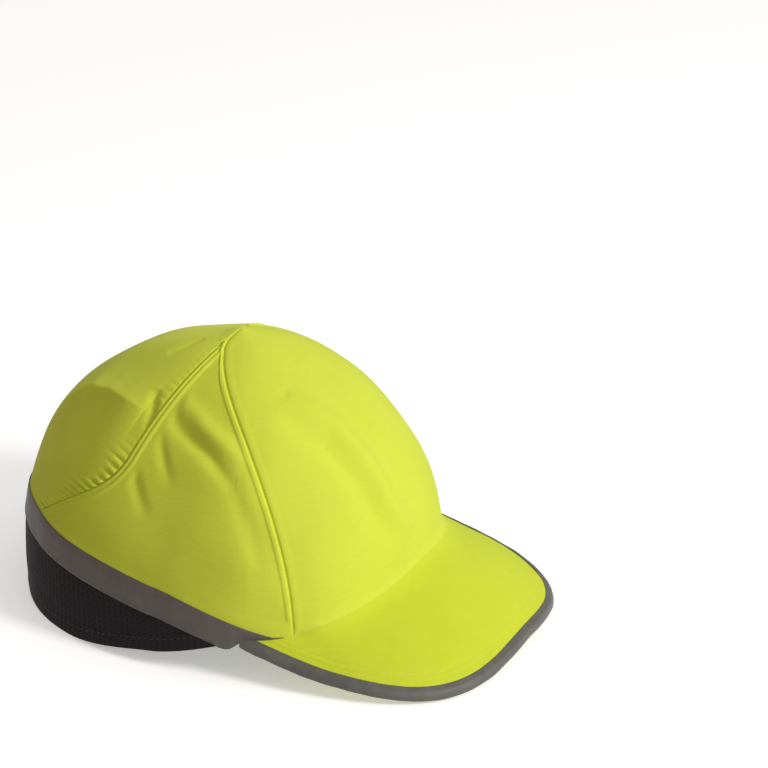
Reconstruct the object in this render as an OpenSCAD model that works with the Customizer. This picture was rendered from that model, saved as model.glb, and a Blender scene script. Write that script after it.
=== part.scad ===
// Bump cap: a cloth baseball-style cap over a removable hard insert, with a hook-and-loop size strap.
// Millimetres. +Z is up, the peak points to -Y, the wearer's left is +X, and the ground is z = 0.
// Angles on the crown run from the middle of the front towards the wearer's left.

/* [Crown] */
// Length of the crown in front of its middle, at the rim
front_reach = 92; // [80:0.5:110]
// Length of the crown behind its middle, at the rim
back_reach = 108; // [90:0.5:125]
// Half the width of the crown, at the rim
half_width = 93; // [80:0.5:100]
// Height of the crown above the ground, without its small point
crown_height = 128.5; // [110:0.5:170]
// Squareness of the outline seen from above, where 2 is an ellipse
outline_power = 2.4; // [2:0.05:4]
// How far behind the middle the top of the crown lies
apex_back = 2; // [-10:0.5:20]
// Height of the small point that the seams draw up at the top
apex_tent = 6; // [0:0.5:12]
// Share of the crown's radius that the point spreads over
apex_spread = 0.2; // [0.05:0.01:0.4]
// Share by which the back of the crown is drawn in at the ground
back_tuck = 0.05; // [0:0.01:0.15]
// Height at which the back starts to draw in
tuck_height = 60; // [30:1:90]
// Roundness of the crown across: front, side, back corner, back
across_fullness = [1.78, 2.34, 2.03, 1.77];
// Roundness of the crown upwards: front, side, back corner, back
upward_fullness = [1.87, 1.5, 2, 3.48];

/* [Peak] */
// How far the peak reaches in front of the crown, seen from above
peak_reach = 58; // [40:0.5:90]
// Half the width of the peak
peak_half_width = 87.5; // [70:0.5:110]
// Squareness of the peak's outline
peak_power = 3; // [2:0.1:5]
// Height of the rim at the middle of the front
peak_root_height = 32.6; // [10:0.5:50]
// Fall of the peak's surface for each millimetre forward
peak_slope = 0.25; // [0:0.01:0.8]
// Extra fall for each square millimetre in front of the crown
peak_droop = 0.003; // [0:0.0005:0.01]
// Radius that the peak is bent to from side to side
peak_bend_radius = 167; // [90:1:400]
// Angle on the crown at which the peak ends on each side
peak_end_angle = 64; // [40:1:80]
// Angle over which the rim falls from the peak's ends to the ground
rim_fall_angle = 50; // [20:1:90]
// Width of the binding on each face of the peak
binding_width = 4; // [3:0.5:12]
// Thickness of the stiff board in the peak
board_thickness = 1.2; // [0.8:0.1:4]

/* [Cloth] */
// Thickness of the crown panels
cloth = 1.2; // [0.5:0.1:2]
// Thickness of tapes and covers
tape = 0.6; // [0.3:0.1:1.5]
// Space left between neighbouring pieces
clear = 0.3; // [0.1:0.05:0.6]
// Width of the reflective band
band_width = 13; // [8:0.5:30]
// Angle at which the reflective band starts behind the peak
band_start = 56; // [45:1:70]
// Height of the reflective band's upper edge at the back
band_top_back = 49.3; // [40:0.1:80]
// Angle on the crown at which the band stops climbing
band_level_angle = 144; // [110:1:170]
// Width of the sweatband
sweatband_width = 31; // [20:1:45]
// Thickness of the sweatband
sweatband_thickness = 1.6; // [1:0.1:5]
// Angle at which the sweatband ends on each side
sweatband_end = 140; // [120:1:160]
// Width of the tapes over the seams inside
seam_tape_width = 12; // [6:0.5:20]

/* [Back opening] */
// Half the angle that the arched opening takes at the back
arch_half_angle = 21; // [12:0.5:30]
// Height of the arched opening
arch_height = 31; // [20:0.5:60]
// Width of the binding round the arch
arch_binding_width = 4; // [2:0.5:8]

/* [Strap] */
// Width of both straps
strap_width = 18; // [12:0.5:30]
// Thickness of the strap webbing
strap_thickness = 1.4; // [0.8:0.1:3]
// Thickness of the hook tape and of the loop tape
grip_thickness = 0.8; // [0.4:0.1:1.5]
// Height of the straps' lower edge
strap_bottom = 3.5; // [1:0.5:15]
// Outer radius of the hook strap, which slides round this arc
strap_radius = 104.5; // [90:0.5:160]
// Where the arc's centre lies in front of the middle of the cap
strap_centre_front = 1.8; // [0:0.1:60]
// Angle from the middle of the back to either sewn strap end
strap_root_angle = 30.5; // [15:0.5:36]
// Angle from the middle of the back to the loop tape's two ends
loop_tape_angle = 18; // [10:0.5:24]
// Angle from the middle of the back to the line where the flap starts to peel
peel_angle = 10; // [5:0.5:18]
// Angle from the middle of the back to the flap's tip
flap_tip_angle = 8; // [4:0.5:16]

/* [Insert] */
// Depth of the hard shell's outer face below the crown's surface
shell_depth = 3.8; // [2:0.1:8]
// Thickness of the hard shell
shell_thickness = 2.4; // [1.5:0.1:4]
// Height of the shell's edge at the front
shell_edge_front = 68; // [40:1:90]
// Height of the shell's edge at the back
shell_edge_back = 76; // [50:1:100]
// Thickness of the foam pads
pad_thickness = 6; // [3:0.5:12]
// Side of the square hook-and-loop patches that hold the insert
patch_angle = 16; // [8:1:30]

/* [Hidden] */
// Where the seams run: angle at the rim, bend, and the height share where they meet.
side_seam_foot = 49.5;
side_seam_bend = 64;
side_seam_reach = 2.2;
rear_seam_angle = 97;
rear_seam_lean = 17;
rear_seam_bend = 372;
rear_seam_straight = 0.518;
seam_gap = 0.3;
rear_seam_foot = 0.26;
seams_meet = 0.965;

// Degrees on the crown for each millimetre along the rim at the back.
arch_degrees = 0.5;

// Where the band's ends hang below the rim, how widely, and how far.
band_end_angle = 69.5;
band_end_spread = 2.8;
band_end_drop = 2.5;

// How late the peak's edge turns in to the crown at its ends.
peak_end_closing = 24;

// How far an edge lies inside the line that a folded strip follows round it, and how far the peak's
// covers stop inside that line.
edge_inset = 1;
cover_inset = 1.5;

// The layers of the peak, measured down from its upper face.
cover = 0.7;
board_top = cover + clear/2;
board_bottom = board_top + board_thickness;
under_top = board_bottom + clear/2;
under_bottom = under_top + cover;

// The layers under the crown's surface.
lining_depth = cloth + clear;
seam_tape_depth = lining_depth + clear/2;
pad_depth = shell_depth + shell_thickness + clear/2;

// The strap's layers, each measured from the arc's centre.
hook_tape_outer = strap_radius - strap_thickness;
hook_tape_inner = hook_tape_outer - grip_thickness;
loop_tape_outer = hook_tape_inner - clear;
loop_strap_outer = loop_tape_outer - grip_thickness;
loop_strap_inner = loop_strap_outer - strap_thickness;

// The colours of the drawing.
lime = [0.75, 0.8, 0.2];
black = [0.13, 0.12, 0.13];
grey = [0.42, 0.4, 0.38];
white = [0.9, 0.9, 0.88];
blue = [0.2, 0.35, 0.6];

// The node to draw, or "all".

// ---- Shape of the cap ----

function mix(a, b, share) = a + (b - a)*share;

function signed_power(value, power) = sign(value)*pow(abs(value), power);

// The four values of a fullness list, blended smoothly round the crown.
function fullness(angle, values) =
    let(
        front = pow(max(cos(angle), 0), 2),
        back = pow(max(-cos(angle), 0), 2),
        side = pow(sin(angle), 2),
        corner = cos(angle) < 0 ? pow(sin(2*angle), 2) : 0
    )
    front*values[0] + side*(1 - corner)*values[1] + corner*values[2] + back*(1 - corner)*values[3];

// The crown's outline at the rim, seen from above.
function outline(angle, depth) =
    let(reach = cos(angle) > 0 ? front_reach : back_reach)
    [
        (half_width - depth)*signed_power(sin(angle), 2/outline_power),
        -(reach - depth)*signed_power(cos(angle), 2/outline_power)
    ];

// Height of the peak's upper face over a point of the plan.
function peak_height(plan) =
    let(
        forward = -plan.y - front_reach,
        bend = peak_bend_radius - sqrt(pow(peak_bend_radius, 2) - pow(plan.x, 2))
    )
    peak_root_height - peak_slope*forward - peak_droop*pow(max(forward, 0), 2) - bend;

// Angle away from the middle of the front, from 0 to 180.
function turned(angle) = acos(cos(angle));

// Height of the rim: the peak's own height at the front, easing to the ground behind it.
function rim_height(angle) =
    let(past = min(max((turned(angle) - peak_end_angle)/rim_fall_angle, 0), 1))
    past == 0
        ? peak_height(outline(angle, 0))
        : peak_height(outline(peak_end_angle, 0))*pow(1 - past, 2)*(1 + past);

// A point of the crown's smooth form. The rise runs from 0 at the rim to 1 at the top, and the depth
// is inwards.
function crown_point(angle, rise, depth) =
    let(
        across = pow(cos(90*rise), 2/fullness(angle, across_fullness)),
        up = pow(sin(90*rise), 2/fullness(angle, upward_fullness)),
        foot = rim_height(angle),
        z = foot + (crown_height - depth - foot)*up,
        drawn_in = 1 - back_tuck*max(-cos(angle), 0)*pow(max(1 - z/tuck_height, 0), 2),
        edge = outline(angle, depth)
    )
    [
        across*drawn_in*edge.x,
        apex_back + across*drawn_in*(edge.y - apex_back),
        z
    ];

// The same point of the cloth, which the seams draw up to a small point at the top.
function cloth_point(angle, rise, depth) =
    let(across = pow(cos(90*rise), 2/fullness(angle, across_fullness)))
    crown_point(angle, rise, depth) + [0, 0, apex_tent*exp(-across/apex_spread)];

// The rise at which the crown reaches a height.
function rise_at(angle, height) =
    let(foot = rim_height(angle), up = max(height - foot, 0)/(crown_height - foot))
    asin(pow(up, fullness(angle, upward_fullness)/2))/90;

// The angle of the seam between the front panel and a side panel.
function side_seam(rise) = side_seam_foot + side_seam_bend*rise*rise/(side_seam_reach - rise);

// The angle of the seam between a side panel and the rear panel. It runs straight down under the band.
function rear_seam(rise) =
    let(held = max(rise, rear_seam_foot), below = max(rear_seam_straight - held, 0))
    rear_seam_angle + rear_seam_lean*(1 - held) + rear_seam_bend*below*below;

// Height of the reflective band's upper edge: it climbs from the rim and levels off at the back.
function band_top(angle) =
    let(
        start = rim_height(band_start) + tape,
        share = (turned(angle) - band_start)/(band_level_angle - band_start)
    )
    mix(start, band_top_back, sin(90*min(max(share, 0), 1)));

// How far the band's two ends hang below the rim, just behind the peak's ends.
function band_end_hang(angle) =
    band_end_drop*exp(-pow((turned(angle) - band_end_angle)/band_end_spread, 2));

// Height where the lime panels meet the black one, under the middle of the band.
function panel_foot(angle) = max(band_top(angle) - band_width/2, rim_height(angle));

// Where the side panel's two lower corners lie.
rear_foot_angle = rear_seam(rear_seam_foot);
rear_foot_rise = rise_at(rear_foot_angle, panel_foot(rear_foot_angle) + clear);
front_foot_rise = rise_at(side_seam_foot, panel_foot(side_seam_foot) + clear);

// Where the peak's edge ends, beside the crown.
peak_end = outline(peak_end_angle, -1.5);

// A point of the peak's outline, drawn in by the inset and lowered by the drop.
function peak_edge(share, inset, drop) =
    let(
        wide = (peak_half_width - inset)*signed_power(sin(90*share), 2/peak_power),
        long = (front_reach + peak_reach + peak_end.y - inset)*pow(cos(90*share), 2/peak_power),
        closing = pow(abs(share), peak_end_closing),
        plan = [mix(wide, sign(share)*peak_end.x, closing), peak_end.y - long]
    )
    [plan.x, plan.y, peak_height(plan) - drop];

// A point of the peak between the crown's rim and an inset line at its edge.
function peak_point(share, forward, inset, drop) =
    let(
        root = outline(peak_end_angle*share, -clear),
        edge = peak_edge(share, inset, 0),
        plan = [mix(root.x, edge.x, forward), mix(root.y, edge.y, forward)]
    )
    [plan.x, plan.y, peak_height(plan) - drop];

// The frame's origin lies under the middle of the whole cap, peak included.
rearmost = max([for (rise = [0:0.01:0.5]) crown_point(180, rise, -tape - clear/2).y]);
to_frame = [0, (front_reach + peak_reach - rearmost)/2, 0];

// ---- Building blocks ----

// A sheet of cloth, foam or shell. place(across, up, layer) gives its points, where layer 0 is the
// outer face and 1 the inner one. A ring joins its two ends. open(row, column) leaves cells out.
module sheet(place, rows, columns, ring = false, open = function(row, column) false) {
    function at(row, column, layer) = (layer*(rows + 1) + row)*(columns + 1) + column;
    function gone(row, column) =
        let(turn = ring ? (column + columns) % columns : column)
        row < 0 || row >= rows || turn < 0 || turn >= columns || open(row, turn);
    points = [
        for (layer = [0, 1], row = [0:rows], column = [0:columns])
            place(column/columns, row/rows, layer) + to_frame
    ];
    faces = [
        for (row = [0:rows - 1], column = [0:columns - 1])
            if (!gone(row, column))
                let(
                    a = [row, column],
                    b = [row, column + 1],
                    c = [row + 1, column + 1],
                    d = [row + 1, column],
                    walls = [
                        if (gone(row - 1, column)) [a, b],
                        if (gone(row, column + 1)) [b, c],
                        if (gone(row + 1, column)) [c, d],
                        if (gone(row, column - 1)) [d, a]
                    ]
                )
                each concat(
                    [[for (p = [a, d, c, b]) at(p.x, p.y, 0)]],
                    [[for (p = [a, b, c, d]) at(p.x, p.y, 1)]],
                    [for (w = walls) [
                        at(w[0].x, w[0].y, 0),
                        at(w[1].x, w[1].y, 0),
                        at(w[1].x, w[1].y, 1),
                        at(w[0].x, w[0].y, 1)
                    ]]
                )
    ];
    polyhedron(points, faces);
}

// A patch of the crown between two angles and two heights, between two depths.
module crown_patch(angles, heights, depths, rows, columns) {
    sheet(
        function(across, up, layer)
            let(
                angle = mix(angles[0], angles[1], across),
                rise = mix(rise_at(angle, heights[0]), rise_at(angle, heights[1]), up)
            )
            crown_point(angle, rise, depths[layer]),
        rows, columns
    );
}

// A tape that follows a seam inside the crown. seam(rise) gives the seam's angle.
module seam_tape(seam, low, high) {
    sheet(
        function(across, up, layer)
            let(
                rise = mix(low, high, up),
                radius = norm([crown_point(seam(rise), rise, 0).x, crown_point(seam(rise), rise, 0).y]),
                half_angle = atan(seam_tape_width/2/radius)
            )
            cloth_point(seam(rise) + half_angle*(2*across - 1), rise, seam_tape_depth + layer*tape),
        14, 2
    );
}

// A band of the strap's arc between two angles, measured from the middle of the back.
module strap_arc(outer, inner, from, to) {
    translate(to_frame + [0, -strap_centre_front, strap_bottom])
        rotate(90 - to)
            rotate_extrude(angle = to - from, $fn = 180)
                translate([inner, 0])
                    square([outer - inner, strap_width]);
}

// The same piece on the wearer's right.
module other_side() {
    mirror([1, 0, 0])
        children();
}

// ---- Cloth of the cap ----

module front_panel() {
    color(lime)
        sheet(
            function(across, up, layer)
                cloth_point((min(side_seam(up), rear_seam(up)) - seam_gap)*(2*across - 1), up, layer*cloth),
            20, 32
        );
}

module side_panel_left() {
    color(lime)
        sheet(
            function(across, up, layer)
                let(
                    front_rise = mix(front_foot_rise, seams_meet, up),
                    rear_rise = mix(rear_foot_rise, seams_meet, up),
                    rear = rear_seam(rear_rise) - seam_gap,
                    front = min(side_seam(front_rise) + seam_gap, rear),
                    foot_angle = mix(side_seam_foot, rear_foot_angle, across),
                    foot = rise_at(foot_angle, panel_foot(foot_angle) + clear)
                        - mix(front_foot_rise, rear_foot_rise, across),
                    rise = mix(front_rise, rear_rise, across) + (1 - up)*foot
                )
                cloth_point(mix(front, rear, across), rise, layer*cloth),
            20, 18
        );
}

module side_panel_right() {
    other_side()
        side_panel_left();
}

module rear_panel() {
    color(lime)
        sheet(
            function(across, up, layer)
                let(
                    edge_rise = mix(rear_foot_rise, 1, up),
                    half = 180 - rear_seam(edge_rise) - seam_gap,
                    foot_angle = 180 + (180 - rear_foot_angle)*(2*across - 1),
                    foot = rise_at(foot_angle, panel_foot(foot_angle) + clear) - rear_foot_rise
                )
                cloth_point(180 + half*(2*across - 1), edge_rise + (1 - up)*foot, layer*cloth),
            18, 20
        );
}

// Height of the black panel's lower edge, which arches over the opening, or of a line spread above it.
function arch_edge(angle, spread) =
    let(share = (180 - turned(angle))/(arch_half_angle + arch_degrees*spread))
    share < 1 ? (arch_height + spread)*sqrt(1 - share*share) : 0;

// The angle of a column that crowds the columns where the arch is steep.
function arch_angle(across, first) =
    across < 0.4 ? mix(first, 180 - arch_half_angle, across/0.4)
    : across > 0.6 ? mix(180 + arch_half_angle, 360 - first, (across - 0.6)/0.4)
    : 180 - arch_half_angle*cos(900*(across - 0.4));

module back_panel() {
    first = band_start + 12;
    color(black)
        sheet(
            function(across, up, layer)
                let(
                    angle = arch_angle(across, first),
                    low = max(rim_height(angle), arch_edge(angle, 0)),
                    high = panel_foot(angle),
                    rise = mix(rise_at(angle, low), rise_at(angle, high), up)
                )
                crown_point(angle, rise, layer*cloth),
            6, 60
        );
}

module reflective_band() {
    color(grey)
        sheet(
            function(across, up, layer)
                let(
                    angle = mix(band_start, 360 - band_start, across),
                    high = band_top(angle),
                    low = max(high - band_width, rim_height(angle)),
                    rise = mix(rise_at(angle, low), rise_at(angle, high), up),
                    hang = [0, 0, -band_end_hang(angle)*(1 - up)]
                )
                crown_point(angle, rise, layer*tape - tape - clear/2) + hang,
            3, 56
        );
}

module side_seam_tape_left() {
    color(lime)
        seam_tape(function(rise) side_seam(rise), 0.36, 0.82);
}

module side_seam_tape_right() {
    other_side()
        side_seam_tape_left();
}

module rear_seam_tape_left() {
    color(lime)
        seam_tape(function(rise) rear_seam(rise), 0.3, 0.8);
}

module rear_seam_tape_right() {
    other_side()
        rear_seam_tape_left();
}

module sweatband() {
    color(black)
        sheet(
            function(across, up, layer)
                let(
                    angle = sweatband_end*(2*across - 1),
                    low = rim_height(angle) + 1,
                    rise = mix(rise_at(angle, low), rise_at(angle, low + sweatband_width), up)
                )
                crown_point(angle, rise, lining_depth + layer*sweatband_thickness),
            5, 52
        );
}

module care_label() {
    depth = lining_depth + sweatband_thickness + clear/2;
    color(white)
        crown_patch([118, 134], [8, 26], [depth, depth + clear], 2, 4);
}

module arch_binding() {
    color(black)
        sheet(
            function(across, up, layer)
                let(
                    spread = up*arch_binding_width,
                    angle = 180 - (arch_half_angle + arch_degrees*spread)*cos(180*across),
                    rise = rise_at(angle, arch_edge(angle, spread))
                )
                crown_point(angle, rise, layer*tape - tape - clear/2),
            1, 24
        );
}

// ---- Peak ----

module peak_layer(rows, columns, inset, top, bottom) {
    sheet(
        function(across, up, layer)
            peak_point(1 - 2*across, up, inset, mix(top, bottom, layer)),
        rows, columns
    );
}

module peak_top_cover() {
    color(lime)
        peak_layer(8, 30, cover_inset, 0, cover);
}

module peak_board() {
    color(white)
        peak_layer(6, 24, 2.5, board_top, board_bottom);
}

module peak_under_cover() {
    color(lime)
        peak_layer(8, 30, cover_inset, under_top, under_bottom);
}

// A point of the path that a folded strip follows round an edge, as inset and drop. The strip lies
// off the edge by the gap.
function fold_path(share, width, round, bottom, gap) =
    let(
        half = bottom/2,
        turn = 180*min(max((share - 0.25)/0.5, 0), 1),
        flat = share < 0.25 ? 1 - 4*share : share > 0.75 ? 4*share - 3 : 0
    )
    [
        round + (width - round)*flat - (round - edge_inset + gap)*sin(turn),
        half - (half + gap)*cos(turn)
    ];

module peak_binding() {
    color(grey)
        sheet(
            function(across, up, layer)
                let(
                    fold = fold_path(up, binding_width, 1.6, under_bottom, clear/2 + (1 - layer)*tape)
                )
                peak_edge(0.985*(1 - 2*across), fold[0], fold[1]),
            8, 40
        );
}

// ---- Straps of the cap ----

// The loop strap lies on the inner arc and turns out to the black panel where it is sewn.
module loop_strap() {
    color(black)
        sheet(
            function(across, up, layer)
                let(
                    angle = mix(-loop_tape_angle - 1, strap_root_angle, across),
                    past = max(angle - loop_tape_angle, 0)/(strap_root_angle - loop_tape_angle),
                    lift = (strap_radius - loop_strap_outer)*past*past*(3 - 2*past),
                    radius = mix(loop_strap_outer, loop_strap_inner, layer) + lift
                )
                [
                    radius*sin(angle),
                    radius*cos(angle) - strap_centre_front,
                    strap_bottom + up*strap_width
                ],
            1, 28
        );
}

module loop_tape() {
    color(black)
        strap_arc(loop_tape_outer, loop_strap_outer, -loop_tape_angle, loop_tape_angle);
}

module crown_loop_patch() {
    color(black)
        crown_patch([-patch_angle, patch_angle], [104, 116], [lining_depth, lining_depth + tape], 3, 6);
}

// ---- Insert ----

// Height of the shell's edge, higher at the back than at the front.
function shell_edge(angle) = mix(shell_edge_front, shell_edge_back, (1 - cos(angle))/2);

// The vents of the shell: slots on both sides, between its grid lines.
function vent(row, column) =
    (row >= 4 && row <= 6 && column % 4 == 1) || (row >= 9 && row <= 10 && column % 6 == 2);

module protective_shell() {
    color(white)
        sheet(
            function(across, up, layer)
                let(
                    angle = 360*across,
                    rise = mix(rise_at(angle, shell_edge(angle)), 1, up)
                )
                crown_point(angle, rise, shell_depth + layer*shell_thickness),
            14, 48, ring = true, open = function(row, column) vent(row, column)
        );
}

module shell_edge_trim() {
    color(black)
        sheet(
            function(across, up, layer)
                let(
                    angle = 360*across,
                    gap = clear + (1 - layer)*tape,
                    fold = fold_path(up, 4, 1.4, shell_thickness, gap),
                    height = shell_edge(angle) + fold[0] - edge_inset
                )
                crown_point(angle, rise_at(angle, height), shell_depth + fold[1]),
            8, 48, ring = true
        );
}

module pad(angles, heights) {
    color(blue)
        crown_patch(angles, heights, [pad_depth, pad_depth + pad_thickness], 6, 8);
}

module front_pad() {
    pad([-34, 34], [76, 92]);
}

module rear_pad() {
    pad([152, 208], [84, 100]);
}

module left_pad() {
    pad([62, 112], [76, 87]);
}

module right_pad() {
    other_side()
        left_pad();
}

module crown_pad() {
    color(blue)
        sheet(
            function(across, up, layer)
                crown_point(360*across, mix(0.72, 1, up), pad_depth + layer*pad_thickness),
            4, 24, ring = true
        );
}

module shell_hook_patch() {
    depth = shell_depth - clear/2;
    color(black)
        crown_patch([-patch_angle, patch_angle], [104, 116], [depth - tape, depth], 3, 6);
}

// ---- Hook strap ----

module hook_strap_base() {
    color(black)
        strap_arc(strap_radius, hook_tape_outer, -strap_root_angle, -peel_angle);
}

module hook_strap_flap() {
    color(black)
        strap_arc(strap_radius, hook_tape_outer, -peel_angle + 0.15, flap_tip_angle);
}

module hook_tape() {
    color(black)
        strap_arc(hook_tape_outer, hook_tape_inner, -peel_angle + 1, flap_tip_angle - 0.5);
}

// ---- Assembly ----

front_panel();
side_panel_left();
side_panel_right();
rear_panel();
back_panel();
reflective_band();
peak_top_cover();
peak_board();
peak_under_cover();
peak_binding();
side_seam_tape_left();
side_seam_tape_right();
rear_seam_tape_left();
rear_seam_tape_right();
sweatband();
care_label();
arch_binding();
loop_strap();
loop_tape();
crown_loop_patch();
protective_shell();
shell_edge_trim();
front_pad();
rear_pad();
left_pad();
right_pad();
crown_pad();
shell_hook_patch();
hook_strap_base();
hook_strap_flap();
hook_tape();
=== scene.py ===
"""Bump cap: a cloth baseball-style cap over a removable hard insert, with a hook-and-loop size strap.

The shapes follow the same rules as the CAD model, in millimetres. Each piece is laid out as a fine grid of
points that carries its seams, puckers, folds and quilting, and becomes a closed mesh in metres.
Angles on the crown run from the middle of the front towards the wearer's left. The rise runs from 0 at
the rim to 1 at the top.
"""
import math

import bmesh
import bpy
import numpy as np
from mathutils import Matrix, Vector


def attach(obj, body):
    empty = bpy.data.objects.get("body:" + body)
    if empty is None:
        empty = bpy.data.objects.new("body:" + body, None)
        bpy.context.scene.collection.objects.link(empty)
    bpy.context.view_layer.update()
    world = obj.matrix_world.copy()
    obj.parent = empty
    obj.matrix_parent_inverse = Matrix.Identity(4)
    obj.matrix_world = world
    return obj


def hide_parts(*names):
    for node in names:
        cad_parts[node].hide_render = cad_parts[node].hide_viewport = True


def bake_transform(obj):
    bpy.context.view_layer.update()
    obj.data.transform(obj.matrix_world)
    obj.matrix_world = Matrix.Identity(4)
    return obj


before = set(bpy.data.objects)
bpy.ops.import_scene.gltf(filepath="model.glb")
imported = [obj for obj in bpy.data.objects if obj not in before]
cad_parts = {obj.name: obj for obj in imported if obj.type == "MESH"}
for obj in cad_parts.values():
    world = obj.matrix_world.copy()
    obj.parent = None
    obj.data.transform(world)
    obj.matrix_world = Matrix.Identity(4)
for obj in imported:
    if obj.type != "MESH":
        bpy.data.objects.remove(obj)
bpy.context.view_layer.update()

METRES = 0.001

# ---- Sizes, the same as the CAD model's ----

FRONT_REACH = 92
BACK_REACH = 108
HALF_WIDTH = 93
CROWN_HEIGHT = 128.5
OUTLINE_POWER = 2.4
APEX_BACK = 2
APEX_TENT = 6
APEX_SPREAD = 0.2
BACK_TUCK = 0.05
TUCK_HEIGHT = 60
ACROSS_FULLNESS = (1.78, 2.34, 2.03, 1.77)
UPWARD_FULLNESS = (1.87, 1.5, 2, 3.48)

PEAK_REACH = 58
PEAK_HALF_WIDTH = 87.5
PEAK_POWER = 3
PEAK_ROOT_HEIGHT = 32.6
PEAK_SLOPE = 0.25
PEAK_DROOP = 0.003
PEAK_BEND_RADIUS = 167
PEAK_END_ANGLE = 64
PEAK_END_CLOSING = 24
RIM_FALL_ANGLE = 50
BINDING_WIDTH = 4
PEAK_THICKNESS = 2.9
BOARD_THICKNESS = 1.2
PEAK_COVER = 0.7

CLOTH = 1.2
TAPE = 0.6
CLEAR = 0.3
BAND_WIDTH = 13
BAND_START = 56
BAND_LEVEL_ANGLE = 144
BAND_TOP_BACK = 49.3
BAND_END_ANGLE = 69.5
BAND_END_SPREAD = 2.8
BAND_END_DROP = 2.5
LINING_DEPTH = CLOTH + CLEAR
SWEATBAND_WIDTH = 31
SWEATBAND_THICKNESS = 1.6
SWEATBAND_END = 140
SEAM_TAPE_WIDTH = 12

SIDE_SEAM_FOOT = 49.5
SIDE_SEAM_BEND = 64
SIDE_SEAM_REACH = 2.2
REAR_SEAM_ANGLE = 97
REAR_SEAM_LEAN = 17
REAR_SEAM_BEND = 372
REAR_SEAM_STRAIGHT = 0.518
REAR_SEAM_FOOT = 0.26
SEAMS_MEET = 0.965

ARCH_HALF_ANGLE = 21
ARCH_HEIGHT = 31
ARCH_BINDING_WIDTH = 4
ARCH_DEGREES = 0.5
# Share of the black panel's columns on each side of the arch.
BESIDE_ARCH = 0.4

STRAP_WIDTH = 18
STRAP_THICKNESS = 1.4
GRIP_THICKNESS = 0.8
STRAP_BOTTOM = 3.5
STRAP_RADIUS = 104.5
STRAP_CENTRE_FRONT = 1.8
STRAP_ROOT_ANGLE = 30.5
LOOP_TAPE_ANGLE = 18
PEEL_ANGLE = 10
FLAP_TIP_ANGLE = 8
HOOK_TAPE_OUTER = STRAP_RADIUS - STRAP_THICKNESS
HOOK_TAPE_INNER = HOOK_TAPE_OUTER - GRIP_THICKNESS
LOOP_TAPE_OUTER = HOOK_TAPE_INNER - CLEAR
LOOP_STRAP_OUTER = LOOP_TAPE_OUTER - GRIP_THICKNESS

SHELL_DEPTH = 3.8
SHELL_THICKNESS = 2.4
SHELL_EDGE_FRONT = 68
SHELL_EDGE_BACK = 76
PAD_DEPTH = SHELL_DEPTH + SHELL_THICKNESS + CLEAR / 2
PAD_THICKNESS = 6
PATCH_ANGLE = 16
PATCH_HEIGHTS = (104, 116)

# ---- Shape of the cap ----


def mix(a, b, share):
    return a + (b - a) * share


def sine(degrees):
    return np.sin(np.radians(degrees))


def cosine(degrees):
    return np.cos(np.radians(degrees))


def signed_power(value, power):
    return np.sign(value) * np.abs(value) ** power


def smooth_step(share):
    """0 below 0 and 1 above 1, with a soft rise between."""
    share = np.clip(share, 0, 1)
    return share * share * (3 - 2 * share)


def fullness(angle, values):
    """The four values of a fullness list, blended smoothly round the crown."""
    front, side, corner_value, back_value = values
    forward = np.maximum(cosine(angle), 0) ** 2
    sideways = sine(angle) ** 2
    backward = np.maximum(-cosine(angle), 0) ** 2
    corner = np.where(cosine(angle) < 0, sine(2 * angle) ** 2, 0)
    return (
        forward * front
        + sideways * (1 - corner) * side
        + corner * corner_value
        + backward * (1 - corner) * back_value
    )


def outline(angle, depth):
    """The crown's outline at the rim, seen from above."""
    reach = np.where(cosine(angle) > 0, FRONT_REACH, BACK_REACH)
    x = (HALF_WIDTH - depth) * signed_power(sine(angle), 2 / OUTLINE_POWER)
    y = -(reach - depth) * signed_power(cosine(angle), 2 / OUTLINE_POWER)
    return x, y


def peak_height(x, y):
    """Height of the peak's upper face over a point of the plan."""
    forward = -y - FRONT_REACH
    bend = PEAK_BEND_RADIUS - np.sqrt(PEAK_BEND_RADIUS**2 - np.minimum(np.abs(x), HALF_WIDTH) ** 2)
    return PEAK_ROOT_HEIGHT - PEAK_SLOPE * forward - PEAK_DROOP * np.maximum(forward, 0) ** 2 - bend


def turned(angle):
    """Angle away from the middle of the front, from 0 to 180."""
    return np.degrees(np.arccos(np.clip(cosine(angle), -1, 1)))


def rim_height(angle):
    """Height of the rim: the peak's own height at the front, easing to the ground behind it."""
    past = np.clip((turned(angle) - PEAK_END_ANGLE) / RIM_FALL_ANGLE, 0, 1)
    behind = peak_height(*outline(PEAK_END_ANGLE, 0)) * (1 - past) ** 2 * (1 + past)
    return np.where(past == 0, peak_height(*outline(angle, 0)), behind)


def across_share(angle, rise):
    return cosine(90 * rise) ** (2 / fullness(angle, ACROSS_FULLNESS))


def crown_point(angle, rise, depth):
    """A point of the crown's smooth form. The depth is inwards."""
    across = across_share(angle, rise)
    up = sine(90 * rise) ** (2 / fullness(angle, UPWARD_FULLNESS))
    foot = rim_height(angle)
    z = foot + (CROWN_HEIGHT - depth - foot) * up
    tuck = BACK_TUCK * np.maximum(-cosine(angle), 0) * np.maximum(1 - z / TUCK_HEIGHT, 0) ** 2
    x, y = outline(angle, depth)
    across = across * (1 - tuck)
    return np.stack([across * x, APEX_BACK + across * (y - APEX_BACK), z + 0 * x], -1)


def cloth_point(angle, rise, depth):
    """The same point of the cloth, which the seams draw up to a small point at the top."""
    point = crown_point(angle, rise, depth)
    point[..., 2] += APEX_TENT * np.exp(-across_share(angle, rise) / APEX_SPREAD)
    return point


def rise_at(angle, height):
    """The rise at which the crown reaches a height."""
    foot = rim_height(angle)
    up = np.maximum(height - foot, 0) / (CROWN_HEIGHT - foot)
    return np.degrees(np.arcsin(up ** (fullness(angle, UPWARD_FULLNESS) / 2))) / 90


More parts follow.
